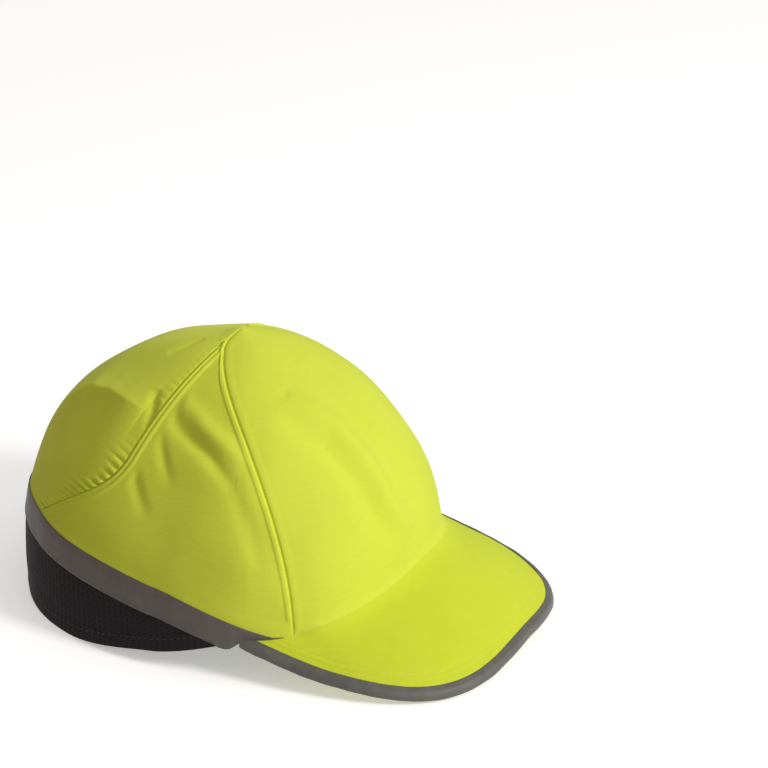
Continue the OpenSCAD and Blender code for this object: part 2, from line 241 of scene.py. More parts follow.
def side_seam(rise):
    """The angle of the seam between the front panel and a side panel."""
    return SIDE_SEAM_FOOT + SIDE_SEAM_BEND * rise * rise / (SIDE_SEAM_REACH - rise)


def rear_seam(rise):
    """The angle of the seam between a side panel and the rear panel."""
    held = np.maximum(rise, REAR_SEAM_FOOT)
    below = np.maximum(REAR_SEAM_STRAIGHT - held, 0)
    return REAR_SEAM_ANGLE + REAR_SEAM_LEAN * (1 - held) + REAR_SEAM_BEND * below**2


REAR_FOOT_ANGLE = rear_seam(0)


def band_top(angle):
    """Height of the reflective band's upper edge: it climbs from the rim and levels off at the back."""
    share = (turned(angle) - BAND_START) / (BAND_LEVEL_ANGLE - BAND_START)
    return mix(rim_height(BAND_START) + TAPE, BAND_TOP_BACK, sine(90 * np.clip(share, 0, 1)))


def band_end_hang(angle):
    """How far the band's two ends hang below the rim, just behind the peak's ends."""
    return BAND_END_DROP * np.exp(-(((turned(angle) - BAND_END_ANGLE) / BAND_END_SPREAD) ** 2))


def panel_foot(angle):
    """Height where the lime panels meet the black one, under the middle of the band."""
    return np.maximum(band_top(angle) - BAND_WIDTH / 2, rim_height(angle))


REAR_FOOT_RISE = rise_at(REAR_FOOT_ANGLE, panel_foot(REAR_FOOT_ANGLE) + CLEAR)
FRONT_FOOT_RISE = rise_at(SIDE_SEAM_FOOT, panel_foot(SIDE_SEAM_FOOT))

REARMOST = crown_point(180, np.linspace(0, 0.5, 51), -TAPE - CLEAR / 2)[:, 1].max()
# From the crown's own middle to the middle of the whole cap, where the CAD's frame has its origin.
TO_FRAME = np.array([0, (FRONT_REACH + PEAK_REACH - REARMOST) / 2, 0])


def arch_height(angle):
    """Height of the black panel's lower edge, which arches over the opening."""
    share = np.clip((180 - turned(angle)) / ARCH_HALF_ANGLE, 0, 1)
    return ARCH_HEIGHT * np.sqrt(1 - share**2)


def arch_angle(across, first):
    """The angle of a column that crowds the columns where the arch is steep."""
    past_arch = 1 - BESIDE_ARCH
    before = mix(first, 180 - ARCH_HALF_ANGLE, across / BESIDE_ARCH)
    after = mix(180 + ARCH_HALF_ANGLE, 360 - first, (across - past_arch) / BESIDE_ARCH)
    over = 180 - ARCH_HALF_ANGLE * cosine(180 * (across - BESIDE_ARCH) / (past_arch - BESIDE_ARCH))
    return np.where(across < BESIDE_ARCH, before, np.where(across > past_arch, after, over))


def shell_edge(angle):
    """Height of the shell's edge, higher at the back than at the front."""
    return mix(SHELL_EDGE_FRONT, SHELL_EDGE_BACK, (1 - cosine(angle)) / 2)


def fold_path(share, width, corner, thickness, edge_inset, gap):
    """The path of a strip folded round an edge: how far in from the edge, and how deep."""
    half = thickness / 2
    turn = 180 * np.clip((share - 0.25) / 0.5, 0, 1)
    flat = np.maximum(np.abs(4 * share - 2) - 1, 0)
    inset = corner + (width - corner) * flat - (corner - edge_inset + gap) * sine(turn)
    return inset, half - (half + gap) * cosine(turn)


# ---- The fold where the crown's cloth turns out on to the peak ----

FOLD_HEIGHT = 1.8
FOLD_SPREAD = 3
FOLD_FADE = 9


def fold_at(angle):
    """How far the fold stands off the corner between crown and peak."""
    return FOLD_HEIGHT * smooth_step((SIDE_SEAM_FOOT - np.abs(angle)) / FOLD_FADE)


# ---- Grids of points ----

# Each edge of a grid: the axis that crosses it, and whether it is at that axis's far end.
EDGES = {"left": (1, False), "right": (1, True), "low": (0, False), "high": (0, True)}
SIDES = ("left", "right")
RIMS = ("low", "high")
ALL_EDGES = tuple(EDGES)
TRIAL_SHARES = np.linspace(0, 1, 30)
SPARE_LINES = 3
TINY = 1e-9


def unit(vectors):
    length = np.linalg.norm(vectors, axis=-1, keepdims=True)
    return vectors / np.maximum(length, TINY)


def lengths(points, axis):
    """Distance from the start of each line of points along an axis."""
    steps = np.linalg.norm(np.diff(points, axis=axis), axis=-1)
    start = np.zeros_like(np.take(steps, [0], axis))
    return np.concatenate([start, np.cumsum(steps, axis)], axis)


def crowded(count, crowding):
    """Shares from 0 to 1, closer together at both ends by the crowding."""
    share = np.linspace(0, 1, count)
    return share - crowding * np.sin(2 * math.pi * share) / (2 * math.pi)


class Grid:
    """Points laid out over a surface in rows and columns, with what a relief needs to know of them.

    The place function turns shares across and up into points, measured from the crown's own middle.
    """

    def __init__(self, place, step=1.5, crowding=(0.5, 0.3), ring=False, shares=None):
        if shares is None:
            rough = place(*np.meshgrid(TRIAL_SHARES, TRIAL_SHARES))
            across_step, up_step = np.broadcast_to(step, 2)
            columns = int(lengths(rough, 1)[:, -1].max() / across_step) + SPARE_LINES
            rows = int(lengths(rough, 0)[-1].max() / up_step) + SPARE_LINES
            shares = np.meshgrid(crowded(columns, crowding[0]), crowded(rows, crowding[1]))
        self.across, self.up = shares
        self.points = place(self.across, self.up) + TO_FRAME
        self.ring = ring
        self.normals = self.find_normals()
        self.along_row = lengths(self.points, 1)
        self.along_column = lengths(self.points, 0)
        self.distance = {edge: self.from_edge(*EDGES[edge]) for edge in EDGES}

    def find_normals(self):
        normals = np.cross(np.gradient(self.points, axis=1), np.gradient(self.points, axis=0))
        if self.ring:
            normals[:, 0] = normals[:, -1] = normals[:, 0] + normals[:, -1]
        pole = np.linalg.norm(normals, axis=-1) < 1e-6
        normals[pole] = (0, 0, 1)
        return unit(normals)

    def from_edge(self, axis, far):
        """Distance of every point from one edge, measured square to that edge."""
        along = self.along_row if axis else self.along_column
        inwards = unit(np.diff(self.points, axis=axis))
        line = unit(np.gradient(self.points, axis=1 - axis))
        which = [-1] if far else [0]
        slant = np.cross(np.take(inwards, which, axis), np.take(line, which, axis))
        straight = np.linalg.norm(slant, axis=-1)
        travelled = np.take(along, [-1], axis) - along if far else along
        return travelled * straight

    def edge_distance(self, edges):
        return np.minimum.reduce([self.distance[edge] for edge in edges])

    def raise_by(self, height):
        """The points moved out along their normals."""
        return self.points + self.normals * np.broadcast_to(height, self.across.shape)[..., None]

    def pattern(self):
        """Millimetres along and across the cloth, for the weave."""
        middle = self.across.shape[1] // 2
        u = self.along_row - self.along_row[:, [middle]]
        v = self.along_column[:, [middle]] + 0 * u
        return np.stack([u, v], -1)

    def flat_size(self):
        """Width, length and area of the cloth before it was shaped, in metres."""
        width = self.along_row[:, -1].max() * METRES
        length = self.along_column[-1].max() * METRES
        down = self.points[1:] - self.points[:-1]
        over = self.points[:, 1:] - self.points[:, :-1]
        cells = np.linalg.norm(np.cross(down[:, :-1], over[:-1]), axis=-1)
        return width, length, min(cells.sum() * METRES**2, width * length)


# ---- Reliefs, as heights in millimetres over a grid ----

FOLD_POINTS = 90
WAVES = 7


def dip(distance, depth, width):
    return -depth * np.exp(-((distance / width) ** 2))


def raised(distance, start, end, height, softness=0.45):
    """A raised strip between two distances from an edge."""
    rise = np.tanh((distance - start) / softness)
    fall = np.tanh((end - distance) / softness)
    return height * (rise + fall) / 2


def groove(distance, place, depth=0.25, width=0.45):
    """The line that a row of stitches draws in."""
    return dip(distance - place, depth, width)


def puckers(distance, along, pitch, reach, height):
    """Gathers that run square to a seam and die away from it: rounded ridges between narrow creases."""
    wander = 0.5 * np.sin(along / 17) + 0.4 * np.sin(along / 7.3 + 1)
    wave = np.abs(np.sin(math.pi * along / pitch + wander)) ** 0.7 - 0.6
    strength = 0.65 + 0.35 * np.sin(along / 9 + 2)
    reached = reach * (0.7 + 0.3 * np.sin(along / 5.1))
    return height * strength * wave * np.exp(-((distance / reached) ** 2)) * smooth_step(distance / 0.6)


def furrow(grid, path, depth, width, power=2.0):
    """A fold of the cloth along a path of (angle, rise) points. A negative depth makes a ridge, and a low
    power makes a sharp crease."""
    stations = np.linspace(0, 1, len(path))
    share = np.linspace(0, 1, FOLD_POINTS)
    angle, rise = (np.interp(share, stations, values) for values in zip(*path))
    line = cloth_point(angle, rise, 0) + TO_FRAME
    nearest = np.full(grid.across.shape, np.inf)
    taper = np.zeros(grid.across.shape)
    for point, strength in zip(line, np.sin(math.pi * share) ** 0.6):
        distance = np.linalg.norm(grid.points - point, axis=-1)
        closer = distance < nearest
        nearest = np.where(closer, distance, nearest)
        taper = np.where(closer, strength, taper)
    return -depth * taper * np.exp(-((nearest / width) ** power))


def folded(grid, folds):
    return sum(furrow(grid, *fold) for fold in folds)


def unevenness(grid, height, wavelength, seed):
    """Low, aimless waves, as in cloth that isn't quite taut."""
    random = np.random.default_rng(seed)
    waves = 0
    for _ in range(WAVES):
        direction = unit(random.normal(size=3))
        turns = 2 * math.pi / (wavelength * random.uniform(0.7, 1.5))
        waves = waves + np.sin(grid.points @ direction * turns + random.uniform(0, 2 * math.pi))
    return height * waves / 3


# ---- Meshes ----

WELD_DISTANCE = 1e-7
SHARP_EDGE = math.radians(55)
EDGE_ROUNDING = 0.3
# Tape as it is modelled here, a little thinner than the CAD's so that it stays clear of what it covers.
TAPE_THICKNESS = TAPE - 0.05


def new_object(name, vertices, faces, pattern=None):
    mesh = bpy.data.meshes.new(name)
    mesh.from_pydata((vertices * METRES).tolist(), [], faces.tolist())
    if pattern is not None:
        layer = mesh.uv_layers.new(name="Pattern")
        loops = np.empty(len(mesh.loops), np.int32)
        mesh.loops.foreach_get("vertex_index", loops)
        layer.data.foreach_set("uv", pattern[loops].astype(np.float32).ravel())
    mesh.validate()
    shape = bmesh.new()
    shape.from_mesh(mesh)
    bmesh.ops.remove_doubles(shape, verts=shape.verts, dist=WELD_DISTANCE)
    bmesh.ops.recalc_face_normals(shape, faces=shape.faces)
    shape.to_mesh(mesh)
    shape.free()
    mesh.shade_smooth()
    mesh.set_sharp_from_angle(angle=SHARP_EDGE)
    made = bpy.data.objects.new(name, mesh)
    bpy.context.scene.collection.objects.link(made)
    return made


def closed_sheet(name, grid, front, back, left_out=None):
    """A mesh between two layers of a grid's points, with walls round its border."""
    rows, columns = grid.across.shape
    kept = np.ones((rows - 1, columns - 1), bool) if left_out is None else ~left_out
    index = np.arange(rows * columns).reshape(rows, columns)
    corners = [index[:-1, :-1], index[:-1, 1:], index[1:, 1:], index[1:, :-1]]
    around = np.pad(kept, 1)
    if grid.ring:
        around[:, 0], around[:, -1] = around[:, -2], around[:, 1]
    beside = [around[:-2, 1:-1], around[1:-1, 2:], around[2:, 1:-1], around[1:-1, :-2]]
    under = rows * columns
    faces = [np.stack(corners, -1)[kept], np.stack(corners[::-1], -1)[kept] + under]
    for side, neighbour in enumerate(beside):
        start = corners[side][kept & ~neighbour]
        end = corners[(side + 1) % 4][kept & ~neighbour]
        faces.append(np.stack([end, start, start + under, end + under], -1))
    vertices = np.concatenate([front.reshape(-1, 3), back.reshape(-1, 3)])
    faces = np.concatenate(faces)
    used, renumbered = np.unique(faces, return_inverse=True)
    pattern = np.tile(grid.pattern().reshape(-1, 2), (2, 1))
    return new_object(name, vertices[used], renumbered.reshape(faces.shape), pattern[used])


def dress(piece, slot, body="cap", stands_for=(), material=None):
    """Gives a piece its material, looked up by its slot, and its body, and hides the CAD nodes that it
    stands for.
    """
    piece.data.materials.append(material or MATERIALS[slot])
    if body:
        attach(piece, body)
    if stands_for:
        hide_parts(*stands_for)
    return piece


def softened(grid, edges, radius=0.5):
    """How near each point is to a border that is rounded off, from 0 to 1."""
    return np.exp(-((grid.edge_distance(edges) / radius) ** 2))


def cloth_piece(
    name, grid, height, thickness, slot, body="cap",
    edges=ALL_EDGES, sewn=None,
):
    """A sheet of cloth with softened borders, and its stitches. The size it was cut to is worked out but
    not used.
    """
    border = EDGE_ROUNDING * thickness * softened(grid, edges)
    grid.front = grid.raise_by(height - border)
    piece = closed_sheet(name, grid, grid.front, grid.raise_by(height - thickness + border))
    dress(piece, slot, body, (name,))
    width, length, area = grid.flat_size()
    if sewn:
        sew(name, piece, grid, slot, **sewn)
    return piece


def padded_piece(name, grid, height, thickness, slot, body="insert", sewn=None):
    """A pad whose faces close in a round border."""
    edges = ("low",) if grid.ring else ALL_EDGES
    inside = np.clip(2 * grid.edge_distance(edges) / thickness, 0, 1)
    swell = np.sqrt(1 - (1 - inside) ** 2)
    grid.front = grid.raise_by(height * swell - thickness / 2 * (1 - swell))
    back = grid.raise_by(-thickness / 2 * (1 + swell))
    piece = closed_sheet(name, grid, grid.front, back)
    dress(piece, slot, body, (name,))
    if sewn:
        sew(name, piece, grid, slot, **sewn)


# ---- Stitches ----

# A stitch's rings, from end to end: the place along it and the radius, as shares of half its length and
# thickness. It arches over the cloth and dives in at both ends.
STITCH_RINGS = ((-1, 0), (-0.92, 0.55), (-0.6, 0.95), (0, 1), (0.6, 0.95), (0.92, 0.55), (1, 0))
STITCH_SIDES = 6
STITCH_ARCH = 0.6
STITCH_DIVE = 0.4


def line_beside(grid, edge, distance, start=0.0, end=1.0):
    """The points and normals of the line that runs at a distance from one edge of a grid."""
    axis, far = EDGES[edge]
    layers = [grid.distance[edge], *np.moveaxis(grid.front, -1, 0), *np.moveaxis(grid.normals, -1, 0)]
    if axis == 0:
        layers = [layer.T for layer in layers]
    if far:
        layers = [layer[:, ::-1] for layer in layers]
    rows = len(layers[0])
    chosen = range(int(start * (rows - 1)), int(end * (rows - 1)) + 1)
    line = [[np.interp(distance, layers[0][row], layer[row]) for layer in layers[1:]] for row in chosen]
    line = np.array(line)
    return line[:, :3], unit(line[:, 3:])


def sew(name, piece, grid, slot, thread, edges, inset, ends=(0.02, 0.98), **size):
    """A row of stitches beside each of some edges of a piece, between two shares of its length."""
    rows = [line_beside(grid, edge, inset, *ends) for edge in edges]
    stitching(name + "_stitches", piece, rows, slot, thread, **size)


def along_line(distances, travelled, values):
    """The values at some distances along a line of points."""
    return np.stack([np.interp(distances, travelled, column) for column in values.T], -1)


def stitching(name, piece, lines, slot, thread, pitch=3.0, length=2.2, thickness=0.42, sunk=0.08):
    """Rows of stitches along lines of points, as one object that goes with its piece."""
    ring, side = np.meshgrid(range(len(STITCH_RINGS)), range(STITCH_SIDES), indexing="ij")
    along, radius = np.array(STITCH_RINGS).T
    turn = 2 * math.pi * side / STITCH_SIDES
    following = (side + 1) % STITCH_SIDES
    corners = [ring * STITCH_SIDES + side, ring * STITCH_SIDES + following]
    quads = np.stack([corners[0][:-1], corners[1][:-1], corners[1][1:], corners[0][1:]], -1).reshape(-1, 4)
    vertices, faces, count = [], [], 0
    for points, normals in lines:
        travelled = lengths(points, 0)
        centres = np.arange(pitch / 2, travelled[-1] - pitch / 2, pitch)
        place = along_line(centres, travelled, points)
        outward = unit(along_line(centres, travelled, normals))
        forward = unit(along_line(centres, travelled, np.gradient(points, axis=0)))
        sideways = np.cross(outward, forward)
        for middle, out, ahead, beside in zip(place, outward, forward, sideways):
            across = (radius[ring] * np.cos(turn))[..., None] * beside
            bulge = radius[ring] * np.sin(turn) + STITCH_ARCH * (1 - along[ring] ** 2) - STITCH_DIVE
            thread_points = across + bulge[..., None] * out
            shape = middle - sunk * out + thickness / 2 * thread_points
            shape = shape + (along[ring] * length / 2)[..., None] * ahead
            vertices.append(shape.reshape(-1, 3))
            faces.append(quads + count)
            count += ring.size
    made = new_object(name, np.concatenate(vertices), np.concatenate(faces))
    dress(made, slot, body=None, material=THREADS[thread])
    made.parent = piece
    return made


# ---- Materials ----


class Look:
    """A node material that is being put together."""

    def __init__(self, name, roughness, **sockets):
        self.material = bpy.data.materials.new(name)
        self.material.use_nodes = True
        self.tree = self.material.node_tree
        self.shader = next(n for n in self.tree.nodes if n.type == "BSDF_PRINCIPLED")
        self.set("Roughness", roughness)
        for socket, value in sockets.items():
            self.set(socket.replace("_", " "), value)

    def set(self, socket, value):
        self.feed(self.shader.inputs[socket], value)

    def feed(self, socket, value):
        if isinstance(value, bpy.types.NodeSocket):
            self.tree.links.new(value, socket)
        else:
            socket.default_value = value

    def node(self, kind, inputs, **settings):
        made = self.tree.nodes.new("ShaderNode" + kind)
        for name, value in settings.items():
            setattr(made, name, value)
        for name, value in inputs.items():
            self.feed(made.inputs[name], value)
        return made

    def math(self, operation, a, b=0.0):
        return self.node("Math", {0: a, 1: b}, operation=operation).outputs[0]

    def times(self, a, b):
        return self.math("MULTIPLY", a, b)

    def plus(self, a, b):
        return self.math("ADD", a, b)

    def blended(self, a, b):
        """Three parts of the first value with two of the second."""
        return self.plus(self.times(a, 0.6), self.times(b, 0.4))

    def pattern(self):
        """Millimetres along and across the cloth."""
        place = self.node("UVMap", {}, uv_map="Pattern").outputs["UV"]
        parts = self.node("SeparateXYZ", {0: place})
        return parts.outputs["X"], parts.outputs["Y"]

    def waves(self, value, pitch):
        """Rounded threads side by side, one for each pitch, from 0 to 1."""
        return self.math("ABSOLUTE", self.math("SINE", self.times(value, math.pi / pitch)))

    def mix(self, share, a, b):
        """A colour between two."""
        mixed = self.node("Mix", {"Factor": share}, data_type="RGBA")
        colours = [socket for socket in mixed.inputs if socket.type == "RGBA"]
        self.feed(colours[0], (*a, 1) if isinstance(a, tuple) else a)
        self.feed(colours[1], (*b, 1) if isinstance(b, tuple) else b)
        return next(socket for socket in mixed.outputs if socket.type == "RGBA")

    def spread(self, value, low, high, start=0.0, end=1.0):
        """A value from one range stretched on to another."""
        inputs = {"Value": value, "From Min": start, "From Max": end, "To Min": low, "To Max": high}
        return self.node("MapRange", inputs).outputs["Result"]

    def noise(self, grain, detail=3.0, stretch=(1, 1, 1)):
        """Aimless variation from 0 to 1 over the solid shape. The grain is its size in millimetres."""
        place = self.node("TexCoord", {}).outputs["Object"]
        place = self.node("Mapping", {"Vector": place, "Scale": stretch}).outputs["Vector"]
        inputs = {"Vector": place, "Scale": 1 / (grain * METRES), "Detail": detail}
        return self.node("TexNoise", inputs).outputs["Fac"]

    def cells(self, grain):
        """Distance from the middles of scattered cells, from 0 to 1."""
        place = self.node("TexCoord", {}).outputs["Object"]
        inputs = {"Vector": place, "Scale": 1 / (grain * METRES)}
        return self.node("TexVoronoi", inputs).outputs["Distance"]

    def roughen(self, value, low, high):
        """Roughness that follows a value from 0 to 1."""
        self.set("Roughness", self.spread(value, low, high))

    def bump(self, *layers):
        """Bumps from (height, depth in millimetres) pairs, one over the other."""
        normal = None
        for height, depth in layers:
            inputs = {"Height": height, "Distance": depth * METRES}
            if normal is not None:
                inputs["Normal"] = normal
            normal = self.node("Bump", inputs).outputs["Normal"]
        self.set("Normal", normal)

    def tint(self, share, colour, change):
        """The base colour, made darker or lighter by up to the change as the share goes from 0 to 1."""
        darker = tuple(part * (1 - change) for part in colour)
        lighter = tuple(min(part * (1 + change), 1) for part in colour)
        self.set("Base Color", self.mix(share, darker, lighter))


def twill(look, pitch):
    """Diagonal ribs over upright threads."""
    u, v = look.pattern()
    return look.blended(look.waves(look.plus(u, v), 2.2 * pitch), look.waves(u, pitch))


def plain_weave(look, pitch):
    """Threads that pass over and under each other in turn."""
    u, v = look.pattern()
    warp, weft = look.waves(u, pitch), look.waves(v, pitch)
    sides = [look.math("SINE", look.times(value, math.pi / pitch)) for value in (u, v)]
    over = look.math("GREATER_THAN", look.times(*sides), 0.0)
    under = look.math("SUBTRACT", 1.0, over)
    return look.plus(look.times(warp, over), look.times(weft, under))


def woven_cloth(name, colour, sheen):
    """Close, hard-wearing twill in a high-visibility colour."""
    paler = (*(min(part + 0.25, 1) for part in colour), 1)
    sheen_sockets = {"Sheen_Weight": sheen, "Sheen_Roughness": 0.4, "Sheen_Tint": paler}
    look = Look(name, 0.8, Specular_IOR_Level=0.25, **sheen_sockets)
    weave = twill(look, pitch=0.5)
    slub = look.noise(grain=2.2, detail=4, stretch=(0.35, 0.35, 1.6))
    patches = look.noise(grain=38, detail=2)
    look.tint(look.blended(patches, slub), colour, 0.09)
    look.roughen(slub, 0.72, 0.9)
    look.bump((patches, 0.25), (slub, 0.1), (weave, 0.05))
    return look.material


def reflective_tape(name, colour):
    """Cloth tape covered in fine glass beads, scuffed here and there."""
    look = Look(name, 0.45, Metallic=0.15, Specular_IOR_Level=0.6)
    beads = look.cells(grain=0.35)
    scuffs = look.noise(grain=7, detail=6, stretch=(1, 1, 0.4))
    weave = plain_weave(look, pitch=0.55)
    worn = look.spread(scuffs, 0, 1, start=0.35, end=0.7)
    look.tint(look.blended(worn, beads), colour, 0.2)
    look.roughen(scuffs, 0.38, 0.62)
    look.bump((scuffs, 0.08), (weave, 0.06), (beads, 0.05))
    return look.material


# Distance between the rows of the mesh's holes, which run in three directions.
HOLE_PITCH = 1.6


def knitted_mesh(name, colour):
    """Spacer mesh with rows of small holes."""
    look = Look(name, 0.75, Sheen_Weight=0.04, Sheen_Roughness=0.5, Specular_IOR_Level=0.18)
    u, v = look.pattern()
    half, leaning = look.times(u, 0.5), look.times(v, 0.866)
    directions = [u, look.plus(half, leaning), look.math("SUBTRACT", half, leaning)]
    waves = [look.math("COSINE", look.times(way, 2 * math.pi / HOLE_PITCH)) for way in directions]
    web = look.plus(look.plus(waves[0], waves[1]), waves[2])
    solid = look.spread(web, 1, 0, start=0.6, end=2.0)
    fibres = look.noise(grain=0.8, detail=4)
    look.tint(look.times(solid, look.spread(fibres, 0.6, 1)), colour, 0.6)
    look.roughen(fibres, 0.65, 0.9)
    look.bump((fibres, 0.12), (solid, 0.35))
    return look.material


def webbing(name, colour, pitch):
    """Ribbed narrow weave."""
    look = Look(name, 0.7, Sheen_Weight=0.15, Specular_IOR_Level=0.35)
    u, v = look.pattern()
    rib = look.waves(v, pitch)
    crossing = look.waves(look.plus(u, look.times(rib, 0.5)), pitch * 0.6)
    fibres = look.noise(grain=0.9, detail=4)
    look.tint(look.times(rib, fibres), colour, 0.35)
    look.roughen(fibres, 0.6, 0.85)
    look.bump((fibres, 0.06), (crossing, 0.08), (rib, 0.18))
    return look.material


def brushed_knit(name, colour):
    """Soft towelling with a short pile."""
    look = Look(name, 0.9, Sheen_Weight=0.3, Sheen_Roughness=0.6, Specular_IOR_Level=0.2)
    pile = look.noise(grain=0.7, detail=5)
    rubbed = look.noise(grain=12, detail=3)
    look.tint(look.times(pile, look.spread(rubbed, 0.6, 1)), colour, 0.5)
    look.roughen(rubbed, 0.8, 0.95)
    look.bump((rubbed, 0.3), (pile, 0.25))
    return look.material


def gripping_pile(name, colour, grain, depth, roughness):
    """The hooks or loops of a fastener."""
    look = Look(name, roughness, Sheen_Weight=0.2, Specular_IOR_Level=0.4)
    tufts = look.cells(grain)
    wear = look.noise(grain=6, detail=4)
    look.tint(look.times(look.math("SUBTRACT", 1.0, tufts), wear), colour, 0.7)
    look.roughen(wear, roughness - 0.1, roughness + 0.1)
    look.bump((wear, 0.15), (tufts, depth))
    return look.material


def moulded(name, colour, grain, depth, roughness, level=0.5):
    """Moulded plastic, rubber or foam with a fine grain and light scuffs."""
    look = Look(name, roughness, Specular_IOR_Level=level)
    pits = look.cells(grain)
    scuffs = look.noise(grain=9, detail=7, stretch=(1, 1, 0.25))
    broad = look.noise(grain=45, detail=2)
    look.tint(look.times(look.spread(scuffs, 0.3, 1), broad), colour, 0.3)
    look.roughen(scuffs, roughness - 0.08, roughness + 0.14)
    look.bump((broad, 0.15), (scuffs, 0.03), (pits, depth))
    return look.material


def sewing_thread(name, colour):
    """Twisted thread."""
    look = Look(name, 0.55, Sheen_Weight=0.2)
    twist = look.noise(grain=0.3, detail=2, stretch=(1, 1, 2))
    look.tint(twist, colour, 0.25)
    look.bump((twist, 0.05))
    return look.material


MATERIALS = {
    "lime_cloth": woven_cloth("lime_cloth", (0.64, 0.73, 0.055), sheen=0.25),
    "lime_peak_cloth": woven_cloth("lime_peak_cloth", (0.6, 0.69, 0.033), sheen=0.2),
    "black_mesh": knitted_mesh("black_mesh", (0.013, 0.012, 0.013)),
    "reflective_tape": reflective_tape("reflective_tape", (0.115, 0.1, 0.088)),
    "reflective_binding": reflective_tape("reflective_binding", (0.125, 0.12, 0.108)),
    "peak_board": moulded("peak_board", (0.8, 0.8, 0.77), 0.9, 0.02, 0.5),
    "seam_tape": webbing("seam_tape", (0.55, 0.62, 0.08), 1.1),
    "sweatband": brushed_knit("sweatband", (0.03, 0.03, 0.032)),
    "label": webbing("label", (0.82, 0.82, 0.79), 0.6),
    "webbing": webbing("webbing", (0.022, 0.021, 0.022), 1.3),
    "hook": gripping_pile("hook", (0.028, 0.028, 0.03), 1.1, 0.5, 0.5),
    "loop": gripping_pile("loop", (0.026, 0.026, 0.028), 0.6, 0.35, 0.85),
    "shell": moulded("shell", (0.045, 0.047, 0.052), 0.7, 0.03, 0.42),
    "trim": moulded("trim", (0.02, 0.02, 0.021), 0.5, 0.02, 0.6, 0.35),
    "foam": moulded("foam", (0.04, 0.085, 0.17), 0.8, 0.12, 0.85, 0.25),
}
THREADS = {
    "lime": sewing_thread("lime_thread", (0.7, 0.75, 0.09)),
    "grey": sewing_thread("grey_thread", (0.12, 0.115, 0.11)),
    "black": sewing_thread("black_thread", (0.016, 0.016, 0.017)),
}

# ---- The crown's cloth ----

PANEL_THICKNESS = 1.0
MESH_THICKNESS = 1.1
SEAM_DIP = 0.38
SEAM_DIP_WIDTH = 0.6
SEAM_GRID = {"step": (1.1, 1.4), "crowding": (0.65, 0.3)}
GATHERED_GRID = {"step": (1.2, 0.6), "crowding": (0.65, 0.3)}
TOPSTITCH_INSET = 3.4
FELLED_STITCH_INSET = 2.3
UNDER_BAND = 6
HEM_WIDTH = 7

# Gathers stand high on the upper part of the rear seams and low below the fade.
GATHER_PITCH = 4
GATHER_REACH = 7.5
GATHER_HEIGHT = 2.6
GATHER_FADE = 0.85
GATHER_FADE_START = 0.3
GATHER_FADE_LENGTH = 0.16

# The slack folds of each panel. A fold has a path of (angle, rise) points, a depth, which is below 0 for a
# ridge, a width, and a power where its crease is sharp.
FRONT_FOLDS = (
    (((-44, 0.66), (-24, 0.51), (-17, 0.36), (-14.5, 0.25), (-8, 0.14)), 1.4, 5),
    (((-32, 0.7), (-14, 0.55), (-8.5, 0.385), (-7, 0.26), (-1, 0.13)), -3.2, 6.5),
)
RIGHT_FOLDS = (
    (((-99, 0.68), (-88, 0.61), (-80, 0.57), (-68, 0.475)), 2.0, 3.4),
    (((-98, 0.73), (-83, 0.645), (-74, 0.6), (-64, 0.53)), -2.0, 4.2),
    (((-98, 0.61), (-94, 0.552), (-90, 0.49)), 1.0, 2.6),
    (((-104, 0.51), (-99, 0.458), (-94, 0.4)), 1.1, 3),
    (((-70, 0.5), (-63.5, 0.37), (-60, 0.25)), 0.9, 4.5),
)
LEFT_FOLDS = (
    (((98, 0.64), (84, 0.55), (70, 0.47)), 1.1, 4),
    (((97, 0.57), (94, 0.51)), 0.6, 2.4),
    (((104, 0.52), (97, 0.46)), 0.6, 2.6),
    (((68, 0.5), (61, 0.36)), 0.5, 4),
)
REAR_FOLDS = (
    (
        ((-166, 0.36), (-156, 0.505), (-150, 0.57), (-137, 0.615), (-121, 0.623), (-110, 0.632)),
        -4.2, 9, 1.1,
    ),
    (((166, 0.4), (154, 0.52), (140, 0.6), (118, 0.61)), -2.2, 7, 1.1),
    (((-141, 0.79), (-139.5, 0.85), (-143, 0.9)), 0.8, 2.4),
    (((112, 0.72), (110, 0.63)), 1.2, 3),
)
FOLD_IN_GATHERS = ((-112, 0.7), (-106.5, 0.65), (-103, 0.6)), 1.5, 2.6


def same(place):
    return place


def mirrored(place):
    """The same surface on the wearer's right."""

    def other_side(across, up):
        return place(1 - across, up) * np.array([-1, 1, 1])

    return other_side


def off_the_pole(grid):
    """0 at the top of the crown, where the seams meet, and 1 away from it."""
    x, y = grid.points[..., 0], grid.points[..., 1] - TO_FRAME[1] - APEX_BACK
    return smooth_step((np.hypot(x, y) - 2) / 9)


def out_of_the_band(grid):
    """0 under the reflective band and 1 above it, so that the band lies flat."""
    return smooth_step((grid.distance["low"] - UNDER_BAND) / 3)


def seam_line(distance):
    return dip(distance, SEAM_DIP, SEAM_DIP_WIDTH)


def plain_seam(distance):
    """A seam pressed open: the edge dips in, and its allowance stands up beside it."""
    return seam_line(distance) + raised(distance, start=0.8, end=3.4, height=0.22, softness=0.9)


def pressed_over(distance):
    """The other side of that seam, where both allowances lie: a sharper ridge."""
    return seam_line(distance) + raised(distance, start=0.6, end=2.9, height=0.5)


def felled(distance):
    """A seam folded flat to this side under a row of stitches, which divides it into two ridges."""
    stitched = groove(distance, FELLED_STITCH_INSET, depth=0.5, width=0.5)
    return seam_line(distance) + raised(distance, start=0.5, end=4.4, height=0.6) + stitched


def lime_panel(name, grid, height, sewn=None):
    """A panel of the crown, which lies on the shell. Only the edges in its two seams are rounded off."""
    cloth_piece(name, grid, height, PANEL_THICKNESS, "lime_cloth", edges=SIDES, sewn=sewn)


